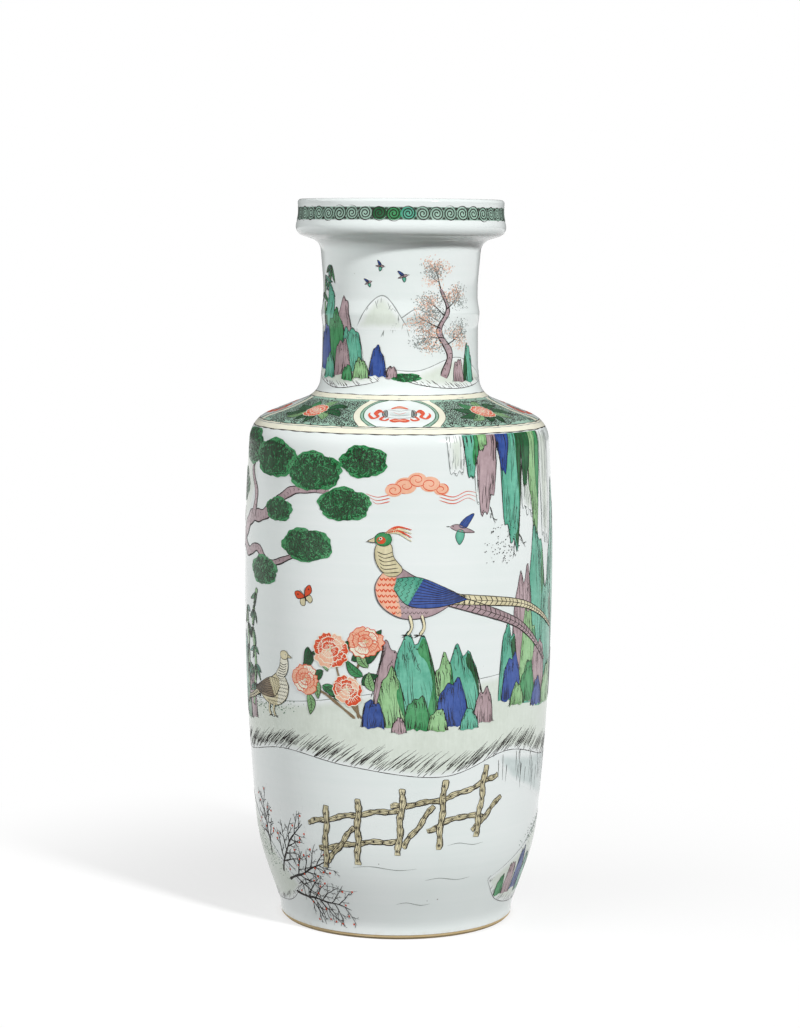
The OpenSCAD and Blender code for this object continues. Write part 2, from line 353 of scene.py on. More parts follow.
class Profile:
    """A finished surface of the vase as a line of radius and height in mm, read from its packed glaze."""
    SEEN = 0.02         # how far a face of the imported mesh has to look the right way
    NEAR = 0.12         # points that lie nearer than this count as one
    CHORD = 2.4         # longest piece of a chord before its corners are eased
    SHORT, LONG = 2.5, 5.5  # chords between which the corners become free to move
    ROUNDS = 30         # of easing
    SOFT = (0.03, 0.6)  # bends in radians that are drawn as curves
    FINE = 0.7          # spacing of the points on those curves
    FOOT_TOP, FOOT_STEP, FOOT_ROUNDS = 23, 0.6, 48  # for the turn of the foot into the wall

    def __init__(self, node, facing, end=None):
        mesh = NODES[node].data
        mesh.calc_loop_triangles()
        co = values(mesh.vertices, "co") * 1000
        tri = values(mesh.loop_triangles, "vertices", np.int32)
        a, b, c = co[tri[:, 0]], co[tri[:, 1]], co[tri[:, 2]]
        across, middle = np.cross(b - a, c - a), (a + b + c) / 3
        radial = (across[:, :2] * middle[:, :2]).sum(1)
        radial /= np.maximum(np.linalg.norm(across, axis=1) * np.hypot(middle[:, 0], middle[:, 1]), 1e-9)
        seen = co[np.unique(tri[facing * radial > self.SEEN])]
        line = np.c_[np.hypot(seen[:, 0], seen[:, 1]), seen[:, 2]]
        line = line[np.lexsort((-line[:, 0], line[:, 1]))]
        kept = [line[0]]
        for p in line[1:]:
            if np.hypot(*(p - kept[-1])) > self.NEAR:
                kept.append(p)
        if end is not None:
            kept.insert(0, np.array(end))
        self.line = self._smooth(np.array(kept))
        step = np.diff(self.line, axis=0)
        self.run = np.r_[0, np.cumsum(np.hypot(step[:, 0], step[:, 1]))]
        along = np.gradient(self.line, self.run, axis=0)
        along /= np.linalg.norm(along, axis=1)[:, None]
        self.out = np.c_[along[:, 1], -along[:, 0]]
        slope = (self.line[:, 1] > SLOPE_LOW) & (self.line[:, 1] < SLOPE_HIGH)
        self.slope_r, self.slope_run = self.line[slope, 0][::-1], self.run[slope][::-1]

    def _smooth(self, line):
        """The line at even spacing, with the corners between its long chords eased."""
        points, free = [line[0]], [0.0]
        for a, b in zip(line[:-1], line[1:]):
            gap = np.hypot(*(b - a))
            n = max(1, round(gap / self.CHORD))
            points += [a + (b - a) * (i + 1) / n for i in range(n)]
            free += [min(1.0, max(0.0, (gap - self.SHORT) / (self.LONG - self.SHORT)))] * n
        points, free = np.array(points), np.array(free)
        free[:-1] = np.minimum(free[:-1], free[1:])
        free[0] = free[-1] = 0
        for _ in range(self.ROUNDS):
            points[1:-1] += 0.5 * free[1:-1, None] * ((points[:-2] + points[2:]) / 2 - points[1:-1])
        fine = self._curved(points)
        if line[0, 0] > 1:
            z = np.arange(fine[0, 1], self.FOOT_TOP, self.FOOT_STEP)
            r = np.interp(z, fine[:, 1], fine[:, 0])
            for _ in range(self.FOOT_ROUNDS):
                r[1:-1] += (r[:-2] + r[2:] - 2 * r[1:-1]) / 4
            fine = np.concatenate([np.c_[r, z], fine[fine[:, 1] > z[-1] + self.FOOT_STEP / 2]])
        return fine

    def _curved(self, points):
        """The line with soft bends drawn as curves; straight runs and hard corners stay."""
        chord = np.diff(points, axis=0)
        gap = np.hypot(chord[:, 0], chord[:, 1])[:, None]
        way = chord / gap
        bend = np.r_[0, np.arccos(np.clip((way[1:] * way[:-1]).sum(1), -1, 1)), 0]
        mean = (way[1:] * gap[:-1] + way[:-1] * gap[1:]) / (gap[1:] + gap[:-1])
        mean = np.concatenate([way[:1], mean, way[-1:]])
        fine = [points[:1]]
        for i, (a, b, size) in enumerate(zip(points[:-1], points[1:], gap)):
            if self.SOFT[0] < max(bend[i], bend[i + 1]) < self.SOFT[1]:
                t = np.linspace(0, 1, 1 + max(2, int(size[0] / self.FINE)))[1:, None]
                eased = (2 * t ** 3 - 3 * t ** 2 + 1) * a + (3 * t ** 2 - 2 * t ** 3) * b
                swing = (t ** 3 - 2 * t ** 2 + t) * mean[i] + (t ** 3 - t ** 2) * mean[i + 1]
                fine.append(eased + size * swing)
            else:
                fine.append(b[None])
        return np.concatenate(fine)

    def place(self, turn, run, lift):
        """Points in metres at a turn from the front, a run along the line and a lift off it in mm."""
        r = np.interp(run, self.run, self.line[:, 0]) + lift * np.interp(run, self.run, self.out[:, 0])
        z = np.interp(run, self.run, self.line[:, 1]) + lift * np.interp(run, self.run, self.out[:, 1])
        return np.stack([r * np.sin(turn), -r * np.cos(turn), z], -1) / 1000

    def run_at_height(self, z):
        return np.interp(z, self.line[:, 1], self.run)

    def radius_at_height(self, z):
        return np.interp(self.run_at_height(z), self.run, self.line[:, 0])

    def run_at_radius(self, r):
        """The run at a radius on the slope of the shoulder."""
        return np.interp(r, self.slope_r, self.slope_run)


OUTSIDE = Profile("outer_glaze", 1)
INSIDE = Profile("inner_glaze", -1, end=(0.0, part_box("inner_glaze")[0].z * 1000 + 0.4))


class Form(Graph):
    """A geometry tree with named inputs, run once on a bare object and left as a plain mesh."""

    def __init__(self, name):
        super().__init__(bpy.data.node_groups.new(name, "GeometryNodeTree"))
        self.tree.interface.new_socket("Geometry", in_out="OUTPUT", socket_type="NodeSocketGeometry")
        self.names = {}
        self.entry = self.tree.nodes.new("NodeGroupInput")

    def take(self, name, kind):
        self.names[name] = self.tree.interface.new_socket(
            name, in_out="INPUT", socket_type="NodeSocket" + kind)
        return Val(self, self.entry.outputs[name])

    def take_shape(self, name):
        """The geometry of an object that is handed in."""
        return self.node("GeometryNodeObjectInfo", {}, {0: self.take(name, "Object")}, "Geometry")

    def give(self, geometry, material):
        whole = self.node("GeometryNodeRealizeInstances", {}, {0: geometry})
        dressed = self.node("GeometryNodeSetMaterial", {}, {0: whole, "Material": material})
        self.node("NodeGroupOutput", {}, {0: dressed})

    def run(self, name, **inputs):
        """The tree's result with these inputs as a new object at the origin."""
        bare = new_object(name + "_bare", bpy.data.meshes.new(name + "_bare"))
        modifier = bare.modifiers.new("form", "NODES")
        modifier.node_group = self.tree
        for key, value in inputs.items():
            modifier[self.names[key.capitalize()].identifier] = value
        graph = bpy.context.evaluated_depsgraph_get()
        mesh = bpy.data.meshes.new_from_object(bare.evaluated_get(graph))
        bare.modifiers.clear()
        bpy.data.objects.remove(bare)
        mesh.name = name
        if not mesh.polygons:
            raise RuntimeError(f"the form of {name} came out empty")
        return new_object(name, mesh)


SEAM = 0.000002  # points of a thrown skin that lie nearer than this, in metres, are joined


@functools.cache
def thrown_form():
    """Tree that turns a line of radius and height round the axis, as a wheel does."""
    f = Form("thrown_form")
    source = f.take_shape("Line")
    segments, rings = f.take("Segments", "Int"), f.take("Rings", "Int")
    material = f.take("Material", "Material")
    columns = f.node("FunctionNodeIntegerMath", {"operation": "ADD"}, {0: segments, 1: 1})
    grid = f.node("GeometryNodeMeshGrid", {}, {
        "Size X": 1.0, "Size Y": 1.0, "Vertices X": columns, "Vertices Y": rings})
    here = f.node("GeometryNodeInputPosition")
    row = f.node("FunctionNodeFloatToInt", {"rounding_mode": "ROUND"}, {
        0: (f.part(here, 1) + 0.5) * (rings - 1.0)})
    spot = f.node("GeometryNodeSampleIndex", {"data_type": "FLOAT_VECTOR", "domain": "POINT"}, {
        0: source, "Value": here, "Index": row})
    r, turn = f.part(spot, 0), f.part(here, 0) * (2 * math.pi)
    turned = f.join(r * turn.sine(), 0 - r * turn.cosine(), f.part(spot, 2))
    mapped = f.node("GeometryNodeStoreNamedAttribute", {"data_type": "FLOAT2", "domain": "CORNER"}, {
        0: grid, "Name": "OFBake", "Value": grid.beside("UV Map")})
    placed = f.node("GeometryNodeSetPosition", {}, {0: mapped, "Position": turned})
    closed = f.node("GeometryNodeMergeByDistance", {}, {0: placed, "Distance": SEAM})
    f.give(f.node("GeometryNodeSetShadeSmooth", {}, {0: closed}), material)
    return f


def throw(name, profile, facing, finish, slot, *nodes):
    """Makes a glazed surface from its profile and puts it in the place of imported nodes."""
    rows = len(profile.line)
    mesh = bpy.data.meshes.new(name + "_line")
    mesh.from_pydata([(r / 1000, 0, z / 1000) for r, z in profile.line],
                     [(i, i + 1) for i in range(rows - 1)], [])
    line = new_object(name + "_line", mesh)
    skin = thrown_form().run(name, line=line, segments=256, rings=rows, material=finish)
    bpy.data.objects.remove(line)
    face(skin.data, facing)
    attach(skin, "root")
    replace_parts(skin, *nodes)


class VASE_OT_glaze(bpy.types.Operator):
    """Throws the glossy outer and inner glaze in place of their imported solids"""
    bl_idname = "vase.glaze"
    bl_label = "Glaze"

    def execute(self, context):
        throw("outer_glaze_skin", OUTSIDE, 1, glaze_finish(), "glaze", "outer_glaze")
        throw("inner_glaze_skin", INSIDE, -1, glaze_finish(), "glaze", "inner_glaze")
        dress(NODES["base_glaze"].data, glaze_finish())
        return {"FINISHED"}


class VASE_OT_clay(bpy.types.Operator):
    """Gives the clay sections and the slip in their joints their fired finish"""
    bl_idname = "vase.clay"
    bl_label = "Clay and slip"

    def execute(self, context):
        for names, finish in ((CLAY, biscuit_finish()), (LUTES, slip_finish())):
            for name in names:
                dress(NODES[name].data, finish)
        return {"FINISHED"}


# ---------------------------------------------------------------- brushwork


def spline(points, step=1.2, closed=False):
    """A smooth line through the points, with a new point about every step mm."""
    p = np.asarray(points, float)
    n = len(p)
    if n < 3 and not closed:
        many = max(2, int(np.hypot(*(p[-1] - p[0])) / step) + 1)
        return p[0] + (p[-1] - p[0]) * np.linspace(0, 1, many)[:, None]
    out = []
    for i in range(n if closed else n - 1):
        a, b, c, d = (p[(i + k) % n] if closed else p[min(max(i + k, 0), n - 1)] for k in (-1, 0, 1, 2))
        t = np.arange(0, 1, 1 / max(1, round(np.hypot(*(c - b)) / step)))[:, None]
        out.append(b + 0.5 * t * (c - a + t * (2 * a - 5 * b + 4 * c - d + t * (3 * (b - c) + d - a))))
    if not closed:
        out.append(p[-1:])
    return np.concatenate(out)


def sides(path):
    """Unit vectors to the left of a path at each of its points."""
    along = np.gradient(path, axis=0)
    along /= np.maximum(np.hypot(along[:, 0], along[:, 1]), 1e-9)[:, None]
    return np.c_[-along[:, 1], along[:, 0]]


def edges(path, half):
    """The left and right edges of a strip along a path, with a half width at each of its points."""
    side = sides(path) * half[:, None]
    return path + side, path - side


def circle(count, closed=False):
    """Points round a unit circle; a closed one ends where it began."""
    turn = np.linspace(0, 2 * np.pi, count + 1)[:count + closed]
    return np.c_[np.cos(turn), np.sin(turn)]


def inside(points, ring):
    """Which of the points lie inside a closed ring."""
    x, y = points[:, :1], points[:, 1:]
    a, b = ring, np.roll(ring, -1, axis=0)
    cross = (a[:, 1] > y) != (b[:, 1] > y)
    rise = np.where(b[:, 1] == a[:, 1], 1e-12, b[:, 1] - a[:, 1])
    return (cross & (x < (b[:, 0] - a[:, 0]) * (y - a[:, 1]) / rise + a[:, 0])).sum(1) % 2 == 1


def to_ring(points, ring):
    """Distance of each point from a closed ring."""
    a, d = ring, np.roll(ring, -1, axis=0) - ring
    rel = points[:, None] - a
    t = np.clip((rel * d).sum(2) / np.maximum((d * d).sum(1), 1e-12), 0, 1)
    return np.linalg.norm(rel - t[..., None] * d, axis=2).min(1)


def cropped(ring, limit, top):
    """A closed ring cut off at a height."""
    keep = (lambda p: p[1] <= limit) if top else (lambda p: p[1] >= limit)
    out = []
    for a, b in zip(ring, np.roll(ring, -1, axis=0)):
        if keep(a):
            out.append(a)
        if keep(a) != keep(b):
            out.append(a + (b - a) * (limit - a[1]) / (b[1] - a[1]))
    return np.array(out).reshape(-1, 2)


def wrapped_place(radius, at, lift):
    """Where flat points come to lie on the glaze when they are wrapped round the vase."""
    return OUTSIDE.place(at[:, 0] / radius, OUTSIDE.run_at_height(at[:, 1]), lift)


def plan_place(at, lift):
    """Where points drawn in plan come to lie on the shoulder."""
    x, y = at.T
    return OUTSIDE.place(np.arctan2(x, -y), OUTSIDE.run_at_radius(np.hypot(x, y)), lift)


body_place, neck_place, rim_place = (functools.partial(wrapped_place, r) for r in (BODY_R, NECK_R, RIM_R))


def enamel_piece(made, enamel):
    """Gives a painted mesh its map, its enamel and its body."""
    mesh = made.data
    x, y, z = values(mesh.vertices, "co").T * 1000
    slope = (z > SLOPE_LOW + 3) & (z < SLOPE_HIGH - 2)
    run = np.where(slope, OUTSIDE.run_at_radius(np.hypot(x, y)), OUTSIDE.run_at_height(z))
    corner = values(mesh.loops, "vertex_index", np.int32, 1)[:, 0]
    chart = np.c_[np.arctan2(x, -y) / (2 * np.pi), run][corner]
    # A face that crosses the back keeps to the side of the map on which its first corner lies.
    start = values(mesh.polygons, "loop_start", np.int32, 1)[:, 0]
    first = np.repeat(chart[start, 0], np.diff(np.r_[start, len(corner)]))
    chart[:, 0] -= np.round(chart[:, 0] - first)
    chart -= chart.min(0)
    chart /= np.maximum(chart.max(0), 1e-6)
    mesh.uv_layers.new(name="OFBake").data.foreach_set("uv", chart.astype(np.float32).ravel())
    dress(mesh, enamel_finish(enamel))
    mesh.polygons.foreach_set("use_smooth", np.ones(len(mesh.polygons), bool))
    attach(made, "root")
    return made


class Picture:
    """Brushwork drawn flat in mm, gathered by enamel and then laid on the glaze as thin sheets."""
    ROW = 0.866                 # height of a row of even triangles
    CLEAR = 0.45                # share of the grain that is kept free inside an edge
    STRIDE = 0.65               # share of the grain between two points of a stroke
    THIN = 0.16                 # share of its width that a stroke keeps at its ends
    POOL, WASH_POOL = 2.5, 7.0  # how far in from its edge a patch is pooled
    BENDS, APART = (298, 306, 345, 352), (1, 1.4, 1.4, 1)  # coats lie further apart where the glaze bends

    def __init__(self, title, place, seed, grain, low=-1e9, high=1e9, bent=(1e9, 1e9)):
        self.title, self.place, self.grain = title, place, grain
        self.low, self.high, self.bent = low, high, bent
        self.rng, self.level, self.sheets = random.Random(seed), 0.0, {}
        self.spot = np.eye(3)

    def moved(self, u, v, scale=1.0, turn=0.0, flip=False):
        """Sets where the next strokes go: their own origin, size, turn in degrees and mirror."""
        c, s = math.cos(math.radians(turn)) * scale, math.sin(math.radians(turn)) * scale
        f = -1 if flip else 1
        self.spot = np.array([[c * f, -s, u], [s * f, c, v], [0, 0, 1]])
        return self

    def shifted(self, u, v, tall=1.0):
        """Moves the spot on from where it is, and makes it lower if asked."""
        self.spot = self.spot @ np.array([[1, 0, u], [0, tall, v], [0, 0, 1]])
        return self

    def here(self, points):
        return np.asarray(points, float) @ self.spot[:2, :2].T + self.spot[:2, 2]

    def _grain(self, points):
        """Finer where the glaze bends up or down as well as round."""
        bends = points[:, 1].max() > self.bent[0] and points[:, 1].min() < self.bent[1]
        return self.grain * (0.5 if bends else 1)

    def _add(self, enamel, at, up, tris, pool):
        sheet = self.sheets.setdefault(enamel, [[], [], [], [], 0])
        sheet[0].append(at)
        sheet[1].append(np.full(len(at), self.level + up))
        sheet[2].append(np.asarray(tris, np.int64).reshape(-1, 3) + sheet[4])
        sheet[3].append(pool)
        sheet[4] += len(at)

    def fill(self, enamel, ring, up=0.0):
        """A closed patch of enamel."""
        ring = self.here(ring)
        if ring[:, 1].max() > self.high:
            ring = cropped(ring, self.high, True)
        if len(ring) > 2 and ring[:, 1].min() < self.low:
            ring = cropped(ring, self.low, False)
        if len(ring) < 3:
            return
        after, g = np.roll(ring, -1, axis=0), self._grain(ring)
        cuts = np.ceil(np.linalg.norm(after - ring, axis=1) / g).astype(int)
        ring = np.concatenate([
            a + (b - a) * np.arange(n)[:, None] / n for a, b, n in zip(ring, after, cuts) if n])
        (u0, v0), (u1, v1) = ring.min(0), ring.max(0)
        us, vs = np.meshgrid(np.arange(u0, u1 + g, g), np.arange(v0, v1 + g, g * self.ROW))
        us[1::2] += g / 2
        spots = np.c_[us.ravel(), vs.ravel()]
        spots = spots[inside(spots, ring)]
        if len(spots):
            spots = spots[to_ring(spots, ring) > self.CLEAR * g]
        n = len(ring)
        made = delaunay_2d_cdt([Vector(p) for p in np.r_[ring, spots]],
                               [(i, (i + 1) % n) for i in range(n)], [], 1, 1e-4)
        at = np.array([tuple(p) for p in made[0]])
        if not made[2] or not len(at):
            return
        tris = np.array([(f[0], f[k], f[k + 1]) for f in made[2] for k in range(1, len(f) - 1)])
        a, b, c = at[tris[:, 0]], at[tris[:, 1]], at[tris[:, 2]]
        turned = (b - a)[:, 0] * (c - a)[:, 1] < (b - a)[:, 1] * (c - a)[:, 0]
        tris[turned] = tris[turned][:, ::-1]
        reach = self.WASH_POOL if enamel in WASHES else self.POOL
        self._add(enamel, at, up, tris, 1 - np.clip(to_ring(at, ring) / reach, 0, 1))

    def stroke(self, enamel, path, width=0.6, up=0.5, taper=0.3, end=None, uneven=0.15):
        """A brush line, up coats high, that swells over its first share and thins over its last."""
        path = self.here(path)
        step = self.STRIDE * self._grain(path)
        far = np.r_[0, np.cumsum(np.linalg.norm(np.diff(path, axis=0), axis=1))]
        if len(path) > 1 and np.diff(far).max() > step:
            even = np.linspace(0, far[-1], max(len(path), int(far[-1] / step) + 2))
            path = np.c_[np.interp(even, far, path[:, 0]), np.interp(even, far, path[:, 1])]
        keep = (path[:, 1] < self.high) & (path[:, 1] > self.low)
        if not keep.all():
            cut = np.flatnonzero(np.diff(np.r_[False, keep, False].astype(int)))
            for a, b in zip(cut[::2], cut[1::2]):
                if b - a > 2:
                    self._line(enamel, path[a:b], width, up, 0.05, 0.05, uneven)
        elif len(path) > 1:
            self._line(enamel, path, width, up, taper, taper if end is None else end, uneven)

    def _line(self, enamel, path, width, up, first, last, uneven):
        n = len(path)
        t = np.linspace(0, 1, n)
        half = np.minimum(np.minimum(1, t / max(first, 1e-6)), np.minimum(1, (1 - t) / max(last, 1e-6)))
        half = width / 2 * (self.THIN + (1 - self.THIN) * half ** 0.7)
        phase = self.rng.random() * 6.3
        half *= 1 + uneven * np.sin(t * n * 0.55 + phase)
        i = np.arange(n - 1)
        tris = np.concatenate([np.c_[i, i + n, i + 1], np.c_[i + 1, i + n, i + n + 1]])
        self._add(enamel, np.concatenate(edges(path, half)), up, tris, np.zeros(2 * n))

    def dot(self, enamel, u, v, size, up=0.6, squash=1.0):
        """A touch of the brush's tip, with seven sides."""
        turn = np.arange(7) * 2 * np.pi / 7 + self.rng.random()
        ring = np.c_[np.cos(turn), np.sin(turn) * squash] * size / 2
        i = np.arange(7)
        self._add(enamel, self.here(np.r_[[(0, 0)], ring] + (u, v)), up,
                  np.c_[np.zeros(7, int), i + 1, (i + 1) % 7 + 1], np.zeros(8))

    def outline(self, enamel, ink, ring, width=0.55, up=0.0):
        """A patch with a brushed line round it."""
        self.fill(enamel, ring, up)
        ring = np.asarray(ring)
        self.stroke(ink, np.r_[ring, ring[:1]], width, up + 0.5, 0.08, 0.08)

    def lay(self):
        """Makes one piece for each enamel that was used."""
        look = bpy.context.scene.vase_enamels
        pieces = {}
        for enamel, (at, up, tris, pool, _) in self.sheets.items():
            at, up, tris, pool = (np.concatenate(part) for part in (at, up, tris, pool))
            apart = np.interp(at[:, 1], self.BENDS, self.APART)
            co = self.place(at, (look.first_lift + look.coat_step * up * apart) * 1000)
            mesh = bpy.data.meshes.new(f"{self.title}_{enamel}")
            mesh.from_pydata(co, [], tris)
            pooled = mesh.attributes.new("pool", "FLOAT", "POINT")
            pooled.data.foreach_set("value", pool.astype(np.float32))
            pieces[enamel] = enamel_piece(new_object(mesh.name, mesh), enamel)
        return pieces


# ---------------------------------------------------------------- repeated motifs and borders

# Rays that drop a flat motif on the glaze start this far from the axis or this high, in metres.
RAY_FROM, RAY_ABOVE, RAY_LENGTH = 0.2, 0.36, 0.4
ANY_TURN = 3.1


@functools.cache
def laid_motifs():
    """Tree that sets a motif on flat points and drops it on the glaze, wrapped round it or from above."""
    f = Form("laid_motifs")
    spots, shape, target = f.take_shape("Points"), f.take_shape("Motif"), f.take_shape("Glaze")
    wrapped, radius = f.take("Wrapped", "Bool"), f.take("Radius", "Float")
    spin, seed, lift = f.take("Spin", "Float"), f.take("Seed", "Int"), f.take("Lift", "Float")
    material = f.take("Material", "Material")
    size = f.node("GeometryNodeInputNamedAttribute", {"data_type": "FLOAT"}, {"Name": "size"})
    turn = f.node("FunctionNodeRandomValue", {"data_type": "FLOAT"}, {2: 0 - spin, 3: spin, "Seed": seed}, 1)
    set_out = f.node("GeometryNodeInstanceOnPoints", {}, {
        "Points": spots, "Instance": shape, "Rotation": f.join(z=turn), "Scale": size})
    flat = f.node("GeometryNodeRealizeInstances", {}, {0: set_out})
    here = f.node("GeometryNodeInputPosition")
    x, y = f.part(here, 0), f.part(here, 1)
    s, c = (x / radius).sine(), (x / radius).cosine()
    start = f.node("GeometryNodeSwitch", {"input_type": "VECTOR"}, {
        0: wrapped, 1: f.join(x, y, RAY_ABOVE), 2: f.join(s * RAY_FROM, 0 - c * RAY_FROM, y)})
    way = f.node("GeometryNodeSwitch", {"input_type": "VECTOR"}, {
        0: wrapped, 1: (0, 0, -1), 2: f.join(0 - s, c)})
    hit = f.node("GeometryNodeRaycast", {}, {
        0: target, "Source Position": start, "Ray Direction": way, "Ray Length": RAY_LENGTH}, "Hit Position")
    rise = f.node("ShaderNodeVectorMath", {"operation": "SCALE"}, {
        0: hit.beside("Hit Normal"), "Scale": lift})
    on = f.node("ShaderNodeVectorMath", {"operation": "ADD"}, {0: hit, 1: rise})
    f.give(f.node("GeometryNodeSetPosition", {}, {0: flat, "Position": on}), material)
    return f


def flat_object(name, verts, faces, sizes=None):
    """A helper mesh in the flat, in mm, with an optional size at each point."""
    mesh = bpy.data.meshes.new(name)
    mesh.from_pydata([(u / 1000, v / 1000, 0) for u, v in verts], [], faces)
    if sizes is not None:
        mesh.attributes.new("size", "FLOAT", "POINT").data.foreach_set("value", np.array(sizes, np.float32))
    return new_object(name, mesh)


def curl(name, turns, radius, width, steps):
    """A spiral line from the middle outwards."""
    t = np.linspace(0.12, 1, steps)
    path = np.c_[np.cos(t * turns * 2 * np.pi), np.sin(t * turns * 2 * np.pi)] * (t * radius)[:, None]
    verts = np.concatenate(edges(path, width / 2 * np.minimum(1, (1.02 - t) * 6)))
    return flat_object(name, verts, [(i, i + steps, i + steps + 1, i + 1) for i in range(steps - 1)])


def lay_motifs(name, points, sizes, motif, wrapped, radius, seed, up):
    """Repeats a motif on the glaze as one piece of ink."""
    look = bpy.context.scene.vase_enamels
    spots = flat_object(name + "_spots", points, [], sizes)
    made = laid_motifs().run(
        name, points=spots, motif=motif, glaze=bpy.data.objects["outer_glaze_skin"], wrapped=wrapped,
        radius=radius / 1000, spin=ANY_TURN, seed=seed, lift=look.first_lift + look.coat_step * up,
        material=enamel_finish("ink"))
    for helper in (spots, motif):
        bpy.data.objects.remove(helper)
    face(made.data, 1)
    return enamel_piece(made, "ink")


def heights(node):
    """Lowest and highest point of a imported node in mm."""
    low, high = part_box(node)
    return low.z * 1000, high.z * 1000


def band(picture, low, high, reach, enamel):
    """A band right round the vase, in eight lengths that meet."""
    cuts = np.linspace(-reach, reach, 9)
    for a, b in zip(cuts[:-1], cuts[1:]):
        picture.fill(enamel, [(a, low), (b, low), (b, high), (a, high)])


def round_line(picture, v, reach, enamel, width):
    """A thin, slightly unsteady line right round the vase."""
    u = np.linspace(-reach, reach, int(reach))
    wander = 0.10 * np.sin(u * 0.21 + v) + 0.07 * np.sin(u * 0.53 + 2 * v)
    picture.stroke(enamel, np.c_[u, v + wander], width, 0.6, 0.0, 0.0, 0.35)


class VASE_OT_rim_scrolls(bpy.types.Operator):
    """Paints the border of overlapping scrolls round the rim"""
    bl_idname = "vase.rim_scrolls"
    bl_label = "Rim scrolls"
    COUNT = 46
    DARK = (5, 6, 21, 22, 36, 37)  # scrolls in dark greens
    BLUISH = 23                    # the one in turquoise
    OVAL = 1.24                    # width of a scroll for its height

    def execute(self, context):
        low, high = heights("rim_band")
        middle, half, rng = (low + high) / 2 - 0.2, (high - low) / 2, random.Random(5)
        reach = math.pi * RIM_R
        pitch = 2 * reach / self.COUNT
        p = Picture("rim", rim_place, 5, 1.6)
        band(p, low - 0.4, high, reach, "border")
        tones = [rng.choice(("border", "border", "ground", "border", "ground")) for _ in range(self.COUNT)]
        for k in self.DARK:
            tones[k] = "deep_green" if k % 2 else "leaf_green"
        tones[self.BLUISH] = "turquoise"
        turn = np.linspace(0, 2 * np.pi, 26)[:-1]
        spots = []
        for k in range(self.COUNT):
            u, v = -reach + (k + 0.5) * pitch, middle + rng.uniform(-0.25, 0.25)
            p.level = 1 + (k % 2) * 0.8
            ring = (half + 0.2) * (1 + 0.03 * np.sin(5 * turn + k))
            p.fill(tones[k], np.c_[u + ring * self.OVAL * np.cos(turn), v + ring * np.sin(turn)])
            for j in range(9):
                f, s = -0.9 + 0.225 * j, 1 if k % 2 else -1
                edge = s * 1.2 * half * math.sqrt(1 - f * f * 0.9)
                tip = u + edge - s * rng.uniform(0.8, 1.7)
                p.stroke("ink", [(u + edge, v + f * half), (tip, v + f * half * 0.9)], 0.4, 1.0, 0.02, 0.8)
            for s in (-1, 1):
                for j in (-1.5, -0.5, 0.5, 1.5):
                    edge = np.array([u + pitch / 2 + 0.6 * j, middle + s * (half + 0.15)])
                    tip = edge - (0.25 * j, s * (2.3 - 0.4 * abs(j)))
                    p.stroke("ink", [edge, tip], 0.5, 2.4, 0.02, 0.7)
            spots.append((u, v))
        made = p.lay()
        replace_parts(made["border"], "rim_band")
        sizes = [rng.uniform(0.94, 1.04) for _ in spots]
        scroll = curl("scroll", turns=3.0, radius=half + 1.2, width=0.7, steps=80)
        lay_motifs("rim_scroll_lines", spots, sizes, scroll, wrapped=True, radius=RIM_R, seed=3, up=3.8)
        return {"FINISHED"}


class VASE_OT_cream_bands(bpy.types.Operator):
    """Paints the cream bands at the shoulder edge and the neck's root with their thin lines"""
    bl_idname = "vase.cream_bands"
    bl_label = "Cream bands"

    def execute(self, context):
        low, high = heights("edge_band")
        p = self.lined("edge_band", body_place, BODY_R, 6, 1.6, (
            (low + 0.1, "ink", 0.5), (high - 0.15, "ink", 0.42), (high - 1.1, "grey", 0.3)))
        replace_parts(p.lay()["cream"], "edge_band")
        low, high = heights("root_band")
        p = self.lined("root_band", neck_place, NECK_R, 7, 1.4, (
            (low + 0.1, "ink", 0.36), (high, "ink", 0.36), (low + 0.9, "grey", 0.22)))
        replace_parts(p.lay()["cream"], "root_band")
        return {"FINISHED"}

    def lined(self, node, place, radius, seed, grain, lines):
        """The picture of a cream band and its lines, each with a height, an enamel and a width."""
        p, reach = Picture(node, place, seed, grain), math.pi * radius
        band(p, *heights(node), reach, "cream")
        for v, enamel, width in lines:
            round_line(p, v, reach, enamel, width)
        return p


def panel_side(inner):
    """Right side of a shoulder panel in plan, drawn in by a margin."""
    turn = np.radians(np.linspace(-90, 90, 41))
    r = PANEL_ROUND - inner
    return np.c_[PANEL_STRAIGHT + r * np.cos(turn), r * np.sin(turn)]


def arc(start, stop, count, radius):
    """Points in plan between two angles from the front, in degrees."""
    turn = np.radians(np.linspace(start, stop, count))
    return np.c_[np.sin(turn), -np.cos(turn)] * radius


